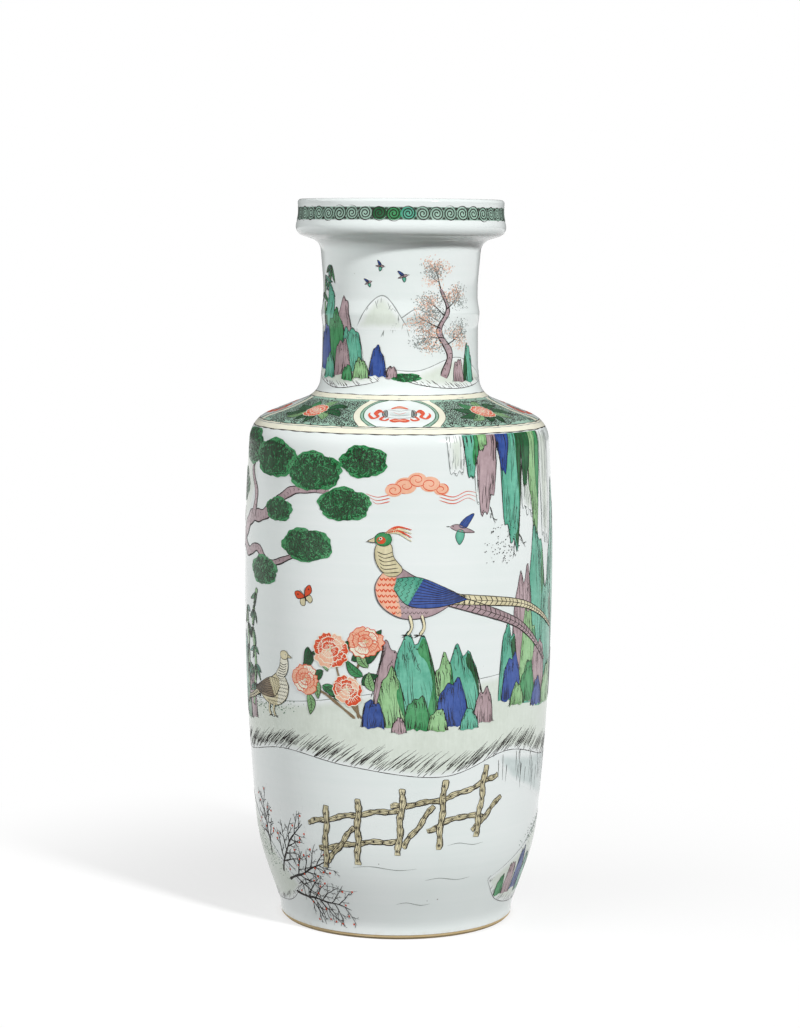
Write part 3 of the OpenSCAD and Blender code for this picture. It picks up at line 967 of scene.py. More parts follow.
class VASE_OT_shoulder(bpy.types.Operator):
    """Paints the shoulder: curled green ground with peonies, and four panels with ribboned emblems"""
    bl_idname = "vase.shoulder"
    bl_label = "Shoulder"
    LEAVES = ((188, 8, 17, "deep_green"), (158, 7, 15, "deep_green"), (-8, 8, 17, "deep_green"),
              (24, 7, 15, "deep_green"), (-152, 7, 14, "apple"), (126, 6, 11, "leaf_green"),
              (-34, 7, 13, "apple"), (66, 6, 10, "apple"), (-76, 6, 11, "deep_green"),
              (-115, 6, 10, "deep_green"))

    def execute(self, context):
        wide, slim = (OUTSIDE.radius_at_height(heights(node)[0] + 0.05)
                      for node in ("shoulder_ground", "root_band"))
        p = Picture("shoulder", plan_place, 12, 1.6)
        side = panel_side(0) + (0, -PANEL_R)
        reach = np.hypot(side[:, 0], side[:, 1])
        side = side[(reach < wide) & (reach > slim)]
        edge = np.degrees(np.arctan2(side[:, 0], -side[:, 1]))
        ring = np.concatenate([arc(edge[0], 90 - edge[0], 40, wide), np.c_[-side[:, 1], -side[:, 0]],
                               arc(90 - edge[-1], edge[-1], 30, slim), side[::-1]])
        fields = []
        for turn in (0, 90, 180, 270):
            p.moved(0, 0, turn=turn)
            p.level = 2
            p.fill("ground", ring)
            fields.append(p.here(ring))
            self.peony_spray(p.moved(0, 0, turn=turn + 45).shifted(0, -72))
            self.panel(p.moved(0, 0, turn=turn), wide, slim)
        made = p.lay()
        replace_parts(made["ground"], "shoulder_ground")
        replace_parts(made["cream"], "panel_frames")
        us, vs = np.meshgrid(np.arange(-92, 92, 2.6), np.arange(-92, 92, 2.3))
        us[1::2] += 1.3
        spots = np.c_[us.ravel(), vs.ravel()]
        spots = spots[np.any([inside(spots, ring) & (to_ring(spots, ring) > 0.9) for ring in fields], axis=0)]
        rng = random.Random(8)
        spots = [(u + rng.uniform(-0.3, 0.3), v + rng.uniform(-0.3, 0.3)) for u, v in spots]
        sizes = [rng.uniform(0.8, 1.25) for _ in spots]
        small = curl("curl", turns=1.35, radius=1.5, width=0.66, steps=15)
        lay_motifs("shoulder_curls", spots, sizes, small, wrapped=False, radius=BODY_R, seed=4, up=2.6)
        return {"FINISHED"}

    def peony_spray(self, p):
        """A peony head with leaves, halfway between two panels, larger along the band than up it."""
        p.level = 4
        for angle, far, size, tone in self.LEAVES:
            leaf(p, ray(angle, far) * (0.9, 0.75), angle, size, 6.4, tone)
        p.level = 6
        peony(p, 0, 0, 8.2, "iron_red", "cream", "iron_red")

    def panel(self, p, wide, slim):
        """Cream frame, green rings and a ribboned emblem of one panel."""
        p.level = 3
        for sign in (1, -1):
            rings = {}
            for inner in (0, 4.0, 4.3, 6.0, 6.2):
                ring = panel_side(inner) * (sign, 1) + (0, -PANEL_R)
                r = np.hypot(ring[:, 0], ring[:, 1])
                rings[inner] = ring[(r < wide - 0.05) & (r > slim + 0.05)]
            p.fill("cream", np.r_[rings[0], rings[4.0][::-1]])
            p.fill("border", np.r_[rings[4.3], rings[6.0][::-1]])
            p.stroke("ink", rings[0], 0.4, 0.6, 0.02)
            p.stroke("deep_green", rings[4.3], 0.5, 0.6, 0.02)
            p.stroke("deep_green", rings[6.2], 0.6, 0.6, 0.02)
        self.emblem(p.shifted(0, -PANEL_R - 0.5))
        p.moved(0, 0)

    def emblem(self, p):
        """A tied roll with grey ends, red ribbons, a cap and a shape below."""
        p.level = 4
        roll = [(-8.5, 1.5), (-7, 5.2), (0, 3.4), (7, 5.2), (8.5, 1.5), (7.2, -4.0), (0, -5.6), (-7.2, -4.0)]
        p.outline("mist", "ink", spline(roll, 1.0, True), 0.35)
        for s in (-1, 1):
            def half(points, step, closed=False):
                return spline([(s * u, v) for u, v in points], step, closed)
            end = [(8.9, 5.2), (10.4, 0.5), (9.2, -4.2), (7.4, -3.6), (7.2, 0.6), (7.6, 4.6)]
            p.outline("grey", "ink", half(end, 0.9, True), 0.4, 0.2)
            p.stroke("ink", half([(8.2, 3.4), (9.2, 0.4), (8.4, -2.8)], 0.7), 0.3, 0.9)
            for ribbon, width, up, taper in (
                    ([(9.5, 1), (12.4, 5.4), (14.6, 2.0), (13.0, -2.8), (16.2, -4.6), (18.4, 0.5),
                      (17.6, 3.2)], 1.9, 0.6, 0.18),
                    ([(9.0, -2.5), (11.5, -6.5), (8.4, -8.2), (6.4, -5.6)], 1.7, 0.7, 0.2),
                    ([(10.6, 2.6), (12.6, 3.2), (13.2, 0.6)], 1.5, 0.8, 0.25)):
                p.stroke("iron_red", half(ribbon, 0.7), width, up, taper)
        cap = [(-5.2, 6.4), (0, 9.6), (5.2, 6.4), (0, 7.6)]
        p.outline("peach", "iron_red", spline(cap, 0.8, True), 0.7, 0.2)
        below = [(-6, -8.6), (-3, -6.6), (0, -7.4), (3, -6.6), (6, -8.6), (3.4, -10.6), (0, -9.9),
                 (-3.4, -10.6)]
        p.outline("iron_red", "iron_red", spline(below, 0.8, True), 0.6, 0.2)
        p.stroke("peach", spline([(-4.2, -8.8), (0, -8.2), (4.2, -8.8)], 0.8), 0.7, 1.4, 0.1)
        p.stroke("iron_red", spline([(-4.0, 2.2), (0, -0.6), (4.2, 2.4)], 0.8), 0.4, 0.9)
        p.stroke("ink", spline([(-6.2, -1.2), (0, -2.6), (6.2, -1.2)], 0.8), 0.3, 0.9)


# ---------------------------------------------------------------- motifs


def ray(angle, far=1.0):
    """The point at an angle in degrees and a distance from the origin."""
    return np.array([math.cos(math.radians(angle)), math.sin(math.radians(angle))]) * far


def leaf(p, base, angle, size, width, enamel, vein="ink", bend=0.15, veins=True):
    """A pointed leaf with a midrib and side veins."""
    way, side = ray(angle), ray(angle + 90)
    t = np.linspace(0, 1, 9)
    mid = np.asarray(base) + np.outer(t * size, way) + np.outer(np.sin(t * np.pi) * bend * size, side)
    half = width / 2 * np.sin(np.pi * t ** 0.8) ** 0.85
    left, right = mid + np.outer(half, side), mid - np.outer(half, side)
    p.outline(enamel, vein, np.r_[left, right[-2:0:-1]], 0.42)
    p.stroke(vein, mid, 0.42, 0.7, 0.1, 0.5)
    for i in (2, 3, 4, 5, 6) if veins else ():
        for edge in (left, right):
            p.stroke(vein, [mid[i], edge[i + 1] * 0.8 + mid[i + 1] * 0.2], 0.24, 0.7)


def petal(p, angle, near, far, spread, enamel, line):
    """One petal with three lobes and five veins that fans out from the origin of the picture's spot."""
    s = np.linspace(-1, 1, 13)
    a = math.radians(angle) + s * math.radians(spread)
    r = far * (1 - 0.16 * s ** 4 + 0.05 * np.cos(3 * np.pi * s) + 0.03 * np.sin(s * 9 + angle))
    tip = np.c_[np.cos(a), np.sin(a)] * r[:, None]
    foot = np.c_[np.cos(a[::-4]), np.sin(a[::-4])] * near
    p.outline(enamel, line, np.r_[tip, foot], 0.48)
    for k in range(5):
        f = -0.7 + 1.4 * (k + 0.5) / 5 + p.rng.uniform(-0.06, 0.06)
        way = ray(angle + f * spread)
        start = near + (far - near) * p.rng.uniform(0.1, 0.3)
        stop = near + (far - near) * p.rng.uniform(0.65, 0.88)
        p.stroke(line, [way * start, way * (start + stop) / 2, way * stop], 0.28, 0.6)


def peony(p, u, v, size, enamel, line, heart):
    """A full blossom of three loose rings of lobed petals round a small heart, seen a little from above."""
    before, level = p.spot.copy(), p.level
    p.shifted(u, v, 0.9)
    rings = (6, 0.35, 1.0, 37), (5, 0.16, 0.70, 42), (4, 0.05, 0.42, 50)
    for ring, (count, near, far, spread) in enumerate(rings):
        for k in range(count):
            p.level = level + ring * 1.3 + (k % 2) * 0.65
            angle = 360 * k / count + ring * 31 + p.rng.uniform(-9, 9)
            reach = far * size * p.rng.uniform(0.86, 1.1) * (1 - 0.1 * math.sin(math.radians(angle)))
            petal(p, angle, near * size, reach, spread * p.rng.uniform(0.85, 1.1),
                  heart if (k + ring) % 3 == 1 else enamel, line)
    p.level = level + 4.6
    for _ in range(9):
        spot = ray(p.rng.uniform(0, 360), p.rng.uniform(0, 0.2) * size)
        p.dot("ochre", *spot, 0.08 * size)
    p.spot, p.level = before, level


def boulder(p, u, v, wide, tall, enamel, lean=0.0, shade=None):
    """A craggy stone on its foot at u, v, with fine lines that fall from its crown and rise from its foot."""
    ink = "grey" if enamel in WASHES else "ink"

    def at(f, s):
        """The point a share f across the stone and a share s down from its crown."""
        crag = 1 + 0.09 * np.sin(f * 4 + u) + 0.06 * np.sin(f * 10 + v + u)
        top = tall * (1 - abs(f) ** 2.3) ** 0.5 * crag
        return np.c_[u + wide / 2 * f * (0.82 + 0.18 * s) + lean * tall * (1 - s), v + top * (1 - s)]

    edge = at(np.sin(np.linspace(-1, 1, 23) * np.pi / 2), 0.0)
    across = np.linspace(0.42, -0.42, max(3, int(wide / 2)))
    foot = [(u + wide * f, v + p.rng.uniform(-1.2, 0.8)) for f in across]
    p.fill(enamel, np.r_[edge, foot])
    if shade:
        f, s = np.linspace(0.96, 0.25, 9), np.linspace(0.05, 0.97, 15)
        ring = [at(f, 0.04), at(0.3 + 0.2 * np.sin(s * 7 + u), s), at(np.array([0.6, 0.93]), 0.97)]
        p.fill(shade, np.concatenate(ring), 0.6)
    for _ in range(int(wide / 3)):
        spot = at(p.rng.uniform(-0.8, 0.8), np.array([p.rng.uniform(0, 0.05)]))[0]
        p.dot(ink, *spot, p.rng.uniform(0.7, 1.2), 1.0, 0.8)
    for k in range(int(wide * 3)):
        f, far = p.rng.uniform(-0.97, 0.97), p.rng.uniform(0.2, 0.62)
        if k % 3 == 0:
            f = math.copysign(1 - 0.3 * p.rng.random(), f)
        start = p.rng.uniform(0.01, 0.3) if k % 5 < 3 else 1.0
        line = at(f + 0.05 * np.sin(np.arange(7) + k) * (1 - abs(f)), np.linspace(start, abs(start - far), 7))
        p.stroke(ink, line, p.rng.uniform(0.24, 0.46), 1.0, 0.06, 0.85)
    p.stroke(ink, edge, 0.36, 1.0, 0.05)


def cliff(p, level, stones):
    """A group of stones from the back to the front; one with a height below zero hangs."""
    p.level = level
    for stone in stones:
        p.level += 1.4
        boulder(p, *stone)


def limb(p, points, start, end, rings=True):
    """A trunk or branch that thins along its path, with bark lines."""
    path = spline(points, 1.6)
    n = len(path)
    half = np.linspace(start, end, n) / 2 * (1 + 0.12 * np.sin(np.arange(n) * 0.8 + start))
    out = sides(path)
    left, right = edges(path, half)
    p.fill("aubergine", np.r_[left, right[::-1]])
    p.stroke("ink", left, 0.6, 0.5, 0.03, 0.1)
    p.stroke("ink", right, 0.8, 0.5, 0.03, 0.1)
    for i in range(1, n - 2, 2) if rings else ():
        f, w = p.rng.uniform(-0.55, 0.4), p.rng.uniform(0.25, 0.5)
        a, b = path[i] + out[i] * half[i] * (f - w), path[i] + out[i] * half[i] * (f + w)
        along = (path[i + 1] - path[i]) * p.rng.uniform(0.3, 0.9)
        p.stroke("ink", spline([a, (a + b) / 2 + along, b], 0.6), 0.34, 0.6)
    return path


def twigs(p, at, angle, size, depth, width, tips=None):
    """A bare twig with side shoots left and right; the ends of its last shoots are added to tips."""
    bend, path = p.rng.uniform(-30, 30), [np.asarray(at, float)]
    for k in range(5):
        path.append(path[-1] + ray(angle + bend * k / 5 + p.rng.uniform(-10, 10), size / 5))
    path = spline(path, max(0.6, size / 26))
    n = len(path)
    p.stroke("ink", path, width, 0.6, 0.02, 0.95)
    if not depth:
        if tips is not None:
            tips.append(path[-1])
        return
    count = max(2, int(size / 4.6))
    for k in range(count):
        t = 0.2 + 0.74 * (k + p.rng.random() * 0.6) / count
        i = min(n - 2, int(t * (n - 1)))
        way = math.degrees(math.atan2(*(path[i + 1] - path[i])[::-1]))
        way += (1 if k % 2 else -1) * p.rng.uniform(30, 60)
        twigs(p, path[i], way, size * p.rng.uniform(0.34, 0.52) * (1.15 - 0.6 * t), depth - 1,
              max(0.34, width * (1 - 0.6 * t) * 0.72), tips)


def stipple(p, u, v, wide, tall, count, enamel, size=0.8, tilt=0.0):
    """A soft cloud of brush dots, denser in the middle, that climbs to the right by a tilt."""
    for _ in range(count):
        a, b = p.rng.gauss(0, 0.42), p.rng.gauss(0, 0.42)
        if a * a + b * b < 1:
            p.dot(enamel, u + a * wide, v + b * tall + a * wide * tilt, size * p.rng.uniform(0.6, 1.25))


def pine_clump(p, u, v, wide, tall):
    """A cushion of pine: soft bright edge, deep green middle and a dense mottle of short dark needles."""
    turn = np.linspace(0, 2 * np.pi, 73)[:-1]
    bumps = 0.86 + 0.18 * np.abs(np.sin(turn * 2.5 + u)) ** 0.7 + 0.05 * np.abs(np.sin(turn * 4 + v))
    bumps += 0.02 * np.sin(turn * 17)
    ring = circle(72) * (wide, tall) / 2 * bumps[:, None]
    middle = circle(72) * (wide, tall) / 2 * np.roll(bumps, 5)[:, None] * 0.94
    p.fill("leaf_green", ring * 1.05 + (u, v))
    p.fill("deep_green", middle + (u + 0.02 * wide * math.sin(u), v - 0.02 * tall), 0.7)
    many = int(wide * tall / 1.9)
    for k in range(many):
        far = math.sqrt((k + 0.5) / many)
        root = ring[int(k * 27.5) % 72] * far * 0.97 + (u, v)
        dark = p.rng.random() < 0.86 - 0.4 * far ** 4
        way = ray(p.rng.uniform(0, 360), min(2.2, tall / 4) * p.rng.uniform(0.6, 1.1))
        enamel, width, up = ("ink", 0.75, 1.3) if dark else ("leaf_green", 0.6, 1.9)
        p.stroke(enamel, [root - way / 2, root + way / 2], width, up, 0.1, 0.7)


def blossom(p, u, v, size, enamel, line):
    """A small flower of five round petals with fine stamens."""
    for k in range(5):
        at = ray(90 + 72 * k, size * 0.30) + (u, v)
        p.outline(enamel, line, circle(9) * size * 0.24 + at, 0.32, (k % 2) * 0.3)
    for k in range(5):
        p.stroke(line, [(u, v), ray(54 + 72 * k, size * 0.26) + (u, v)], 0.24, 1.1)
    p.dot("ochre", u, v, size * 0.2, 1.2)


def bamboo(p, points, width):
    """A jointed cane with sprays of hanging leaves."""
    path = spline(points, 1.6)
    n = len(path)
    out = sides(path)
    for i in range(0, n - 7, 8):
        part, side = path[i:i + 8], out[i:i + 8] * width / 2
        p.outline("apple", "ink", np.r_[part + side, (part - side)[::-1]], 0.38)
        p.stroke("ink", [part[0] + side[0] * 1.5, part[0] - side[0] * 1.5], 0.7, 0.8)
    for i in range(10, n, 7):
        for _ in range(p.rng.choice((3, 4, 5))):
            angle = p.rng.choice((-60, -100, -120, -25, -150)) + p.rng.uniform(-16, 16)
            leaf(p, path[i], angle, p.rng.uniform(8, 13), 2.6,
                 p.rng.choice(("deep_green", "leaf_green", "turquoise")), bend=0.06, veins=False)


def chrysanthemum(p, u, v, size, enamel, line):
    """A flower head of many narrow petals."""
    for ring, (far, count) in enumerate(((1.0, 17), (0.66, 13), (0.36, 8))):
        for k in range(count):
            a = 360 * k / count + ring * 11
            base = ray(a, size * far * 0.25) + (u, v)
            leaf(p, base, a, size * far * 0.8, size * 0.22, enamel, line, 0.05, False)
        p.level += 0.5
    p.dot("ochre", u, v, size * 0.4, 1.0)
    p.level -= 1.5


def bank(p, deep, top, bottom):
    """A strip of ground between two lines, with hatched cliffs along its lower edge."""
    step, hatch = 2.0, 1.6
    top, bottom = spline(top, step), spline(bottom, step)
    p.fill("celadon", np.r_[top, bottom[::-1]])
    p.stroke("grey", top, 0.45, 0.5, 0.2)
    p.stroke("ink", bottom, 0.4, 0.6, 0.2)
    for _ in range(int(len(bottom) * step / hatch)):
        at = bottom[p.rng.randrange(len(bottom))] + (p.rng.uniform(-1, 1), p.rng.uniform(-0.5, deep * 0.4))
        end = at + ray(p.rng.uniform(34, 44), p.rng.uniform(0.35, 1.0) * deep)
        p.stroke("ink", [at, end], 0.38, 0.6, 0.02, 0.8)


def cloud(p):
    """A trailing cloud of curled heads in red line at the picture's spot, about 60 mm long."""
    for k, (u, v, r) in enumerate(((0, 0, 7.5), (9, 4.5, 6.5), (19, 1, 7), (28, -3, 5.5), (-9, -3.5, 6))):
        p.level += 0.6
        p.fill("peach", circle(18) * r * (1.15, 0.85) + (u, v))
        t = np.linspace(0.1, 1, 34)
        curled = np.c_[np.cos(t * 11 + k) * r * 1.15, np.sin(t * 11 + k) * r * 0.85] * t[:, None] + (u, v)
        p.stroke("iron_red", curled, 0.5, 0.5, 0.1)
    for d in (0, 2.6, 5.2):
        for trail in ([(26, -6 - d), (38, -9 - d), (50, -5 - d), (62 - d, -8 - d)],
                      [(-12, -7 - d), (-22, -9 - d), (-31 + d, -6.5 - d)]):
            p.stroke("iron_red", spline(trail, 1.6), 0.5, 0.5, 0.1, 0.6)


def butterfly(p, wing="iron_red", spot="ochre"):
    """A butterfly about 14 mm wide at the picture's spot."""
    for s in (-1, 1):
        upper = [(0, 0.5), (s * 3, 5.5), (s * 7.2, 6.2), (s * 6.6, 1.6), (s * 2, 0)]
        lower = [(0, 0), (s * 4.4, 0), (s * 5.2, -3.6), (s * 2.4, -5), (s * 0.5, -2)]
        p.outline(wing, "ink", spline(upper, 0.8, True), 0.4)
        p.outline(spot, "ink", spline(lower, 0.8, True), 0.4)
        p.dot("ink", s * 5, 3.9, 1.2, 0.7)
        p.stroke("ink", spline([(0, 1.5), (s * 1.2, 4.5), (s * 2.6, 6.4)], 0.8), 0.26, 0.8)
    p.stroke("ink", [(0, 2), (0, 0), (0, -3)], 1.1, 0.9)


def swallow(p):
    """A small flying bird at the picture's spot."""
    for enamel, ring in (("aubergine", [(-6, 0), (-2, 1.8), (4, 0.6), (9, -1), (3, -2), (-3, -1.6)]),
                         ("blue", [(-1, 1), (2, 6), (7, 9), (5, 3.4), (3, 0.6)]),
                         ("turquoise", [(-1, -1), (-2, -5), (1, -9), (3, -5), (2.4, -1.4)])):
        p.outline(enamel, "ink", spline(ring, 0.8, True), 0.36)
    for k in (0, 1, 2):
        p.stroke("ink", [(0.5 + k, 1.5), (3 + k * 1.2, 6.4 - k)], 0.26, 0.8)
    p.stroke("ink", [(-6, 0), (-8.4, -0.4)], 0.5, 0.6)
    p.dot("ink", -4.4, 0.4, 0.7, 0.8)


def feathers(p, left, right, rows):
    """Scalloped rows of feathers between two edges of like length."""
    start = 0.08
    for r in range(rows):
        i = int((start + (1 - start) * r / rows) * (len(left) - 1))
        a, b = left[i], right[min(i, len(right) - 1)]
        away = left[min(i + 2, len(left) - 1)] - left[i]
        away = away / max(np.hypot(*away), 1e-6) * 1.6
        count = max(2, int(np.hypot(*(b - a)) / 2.4))
        for k in range(count):
            m, n = a + (b - a) * k / count, a + (b - a) * (k + 1) / count
            p.stroke("ink", spline([m, (m + n) / 2 + away, n], 0.6), 0.3, 0.7, 0.2)


def pheasant(p, cock=True):
    """A pheasant that faces left on its own origin between its feet, about 60 mm tall with a long tail."""
    body, wing, chest = ("aubergine", "blue", "peach") if cock else ("ochre", "bark", "cream")
    tails = (("aubergine", (104, -22), (64, 6), 7.5), ("ochre", (116, -4), (66, 16), 6.5))
    for k, (tone, end, low, wide) in enumerate(tails if cock else (("ochre", (62, 2), (42, 12), 6.5),)):
        path = spline([(20, 21), low, ((low[0] + end[0]) / 2, (low[1] + end[1]) / 2 + 2.5), end], 1.6)
        left, right = edges(path, wide / 2 * np.linspace(1, 0.12, len(path)) ** 0.7)
        p.outline(tone, "ink", np.r_[left, right[::-1]], 0.5, 0.3 * k)
        p.stroke("ink", path, 0.4, 0.9)
        for i in range(4, len(path) - 2, 2):
            p.stroke("ink", [left[i], path[i] + (path[i + 1] - path[i]) * 1.1, right[i]], 0.55, 0.9, 0.05)
    p.level += 1
    for x in (-1, 6):
        for tone, width, up in (("ink", 2.1, 0.1), ("ochre", 1.3, 0.9)):
            p.stroke(tone, spline([(x, 12), (x + 1.5, 5), (x - 1, 0.5)], 1.0), width, up, 0.05, 0.1)
        for toe in (-160, -185, -20):
            p.stroke("ink", [(x - 1, 0.5), ray(toe, 3.4) + (x - 1, 0.3)], 0.6, 0.4)
    belly = spline([(-15, 37), (-20.5, 28), (-17, 17), (-5, 10), (10, 11), (22, 17), (27, 23), (15, 29),
                    (2, 34), (-7, 39)], 1.4, True)
    p.outline(body, "ink", belly, 0.42)
    front = [(-14, 38), (-20, 28), (-16.6, 17.4), (-6, 11), (-7, 20), (-9, 30), (-8, 38)]
    p.fill(chest, spline(front, 1.4, True), 0.8)
    for k in range(90):
        u, v = -19 + 2.3 * (k % 13) + 1.1 * (k // 13 % 2), 13.5 + 3.2 * (k // 13)
        if inside(np.array([(u - 1.3, v), (u + 1.3, v)]), belly).all():
            tone, width = ("iron_red", 0.9) if cock and u < -7.6 else ("ink", 0.32)
            p.stroke(tone, spline([(u - 1.1, v + 0.6), (u, v - 0.9), (u + 1.1, v + 0.6)], 0.6), width, 1.3)
    p.level += 1.6
    neck = [(-15, 35), (-20, 42), (-20.5, 50), (-17, 54), (-11.5, 52), (-10, 45), (-5, 38), (-9, 34)]
    p.outline("ochre" if cock else "cream", "ink", spline(neck, 1.2, True), 0.38)
    for k in range(6):
        row = [(-19.5 + k * 0.5, 48 - k * 2.1), (-15, 46.4 - k * 2.1), (-10.6 + k * 0.8, 48 - k * 2.3)]
        p.stroke("ink", spline(row, 0.8), 0.45, 0.6, 0.1)
    p.level += 1
    p.outline("leaf_green" if cock else "ochre", "ink", circle(14) * (5.0, 4.0) + (-16, 55), 0.36)
    if cock:
        p.fill("iron_red", circle(14) * (2.6, 2.1) + (-17.2, 54.4), 0.3)
        for k in range(4):
            crest = spline([(-15, 58.5), (-8, 62 - k), (0, 60.5 - 2.2 * k)], 1.2)
            p.stroke("ochre" if k % 2 else "iron_red", crest, 1.5, 0.5, 0.2, 0.6)
    p.dot("cream", -17.4, 55.4, 1.9, 0.9)
    p.dot("ink", -17.5, 55.4, 1.1, 1.0)
    p.outline("ochre", "ink", [(-20.6, 56.2), (-25.5, 53.6), (-20.8, 53.0)], 0.4, 0.4)
    low = spline([(-10, 27), (-2, 17.5), (14, 16), (33, 20)], 1.6)
    top = spline([(-8, 33), (4, 33.5), (18, 28), (33, 20)], 1.6)
    p.fill(wing, np.r_[top, low[::-1]])
    third = len(top) // 3
    p.fill("turquoise" if cock else "ochre", np.r_[top[:third + 2], low[:third][::-1]], 0.8)
    p.level += 0.6
    p.stroke("ink", top, 0.4, 0.9, 0.05)
    p.stroke("ink", low, 0.5, 0.9, 0.05)
    feathers(p, top[:third + 3], low[:third + 3], 5)
    for k in range(9):
        f = (k + 0.5) / 9
        a = top[third] * (1 - f) + low[third] * f
        b = a * 0.5 + top[-4] * 0.5 * (1 - f) + low[-4] * 0.5 * f
        p.stroke("ink", spline([a, b, (33 - k * 1.4 * f, 20 + (0.5 - f) * 4)], 1.4), 0.42, 0.9, 0.05)


def knotty(p, points, width):
    """One length of knotty wood: pale yellow with dark grain and eyes."""
    path = spline(points, 1.3)
    i = np.arange(len(path))
    half = width / 2 * (1 + 0.16 * np.sin(i * 0.9 + points[0][0]) + 0.10 * np.sin(i * 2.1 + points[0][1]))
    out = sides(path)
    path = path + out * (0.55 * np.sin(i * 0.43 + points[0][1]))[:, None]
    left, right = path + out * half[:, None], path - out * half[:, None]
    p.outline("ochre", "ink", np.r_[left, right[::-1]], 0.46)
    p.stroke("ink", right, 0.7, 1.0, 0.02)
    for f in (-0.45, 0.1, 0.5):
        p.stroke("ink", path + out * (half * (f + 0.22 * np.sin(i * 0.8 + 9 * f)))[:, None], 0.24, 0.9, 0.1)
    for k in range(2, len(path) - 2, 4):
        spot = path[k] + out[k] * half[k] * p.rng.uniform(-0.4, 0.4)
        p.dot("ink", *spot, p.rng.uniform(1.0, 1.5), 1.1, 0.8)
        p.stroke("ink", circle(8, True) * (1.2, 0.9) + spot, 0.26, 1.1, 0.05)


def far_hills(p, foot, base, drops, hills):
    """Pale distant hills, each before the last, with a few lines down their slopes."""
    for u, width, top, enamel in hills:
        p.level += 0.8
        ridge = spline([(u - width / 2, base), (u - width / 5, top - drops[0]), (u, top),
                        (u + width / 4, top - drops[1]), (u + width / 2, base)], 2.4)
        p.fill(enamel, np.r_[ridge, [(ridge[-1][0], foot), (ridge[0][0], foot)]])
        p.stroke("grey", ridge, 0.6, 0.5, 0.1)
        for _ in range(int(len(ridge) * 0.8)):
            at = ridge[p.rng.randrange(len(ridge))] - (0, p.rng.uniform(0.5, 2.5))
            p.stroke("grey", [at, at - (p.rng.uniform(-2, 2), p.rng.uniform(2, 6))], 0.32, 0.6)


# ---------------------------------------------------------------- paintings on body and neck

# Lowest painted height, the gap kept below or above a band, and where body and neck bend up or down.
LOWEST, CLEAR = 6.0, 0.6
BODY_BEND, NECK_BEND = (297, 330), (330, 350)


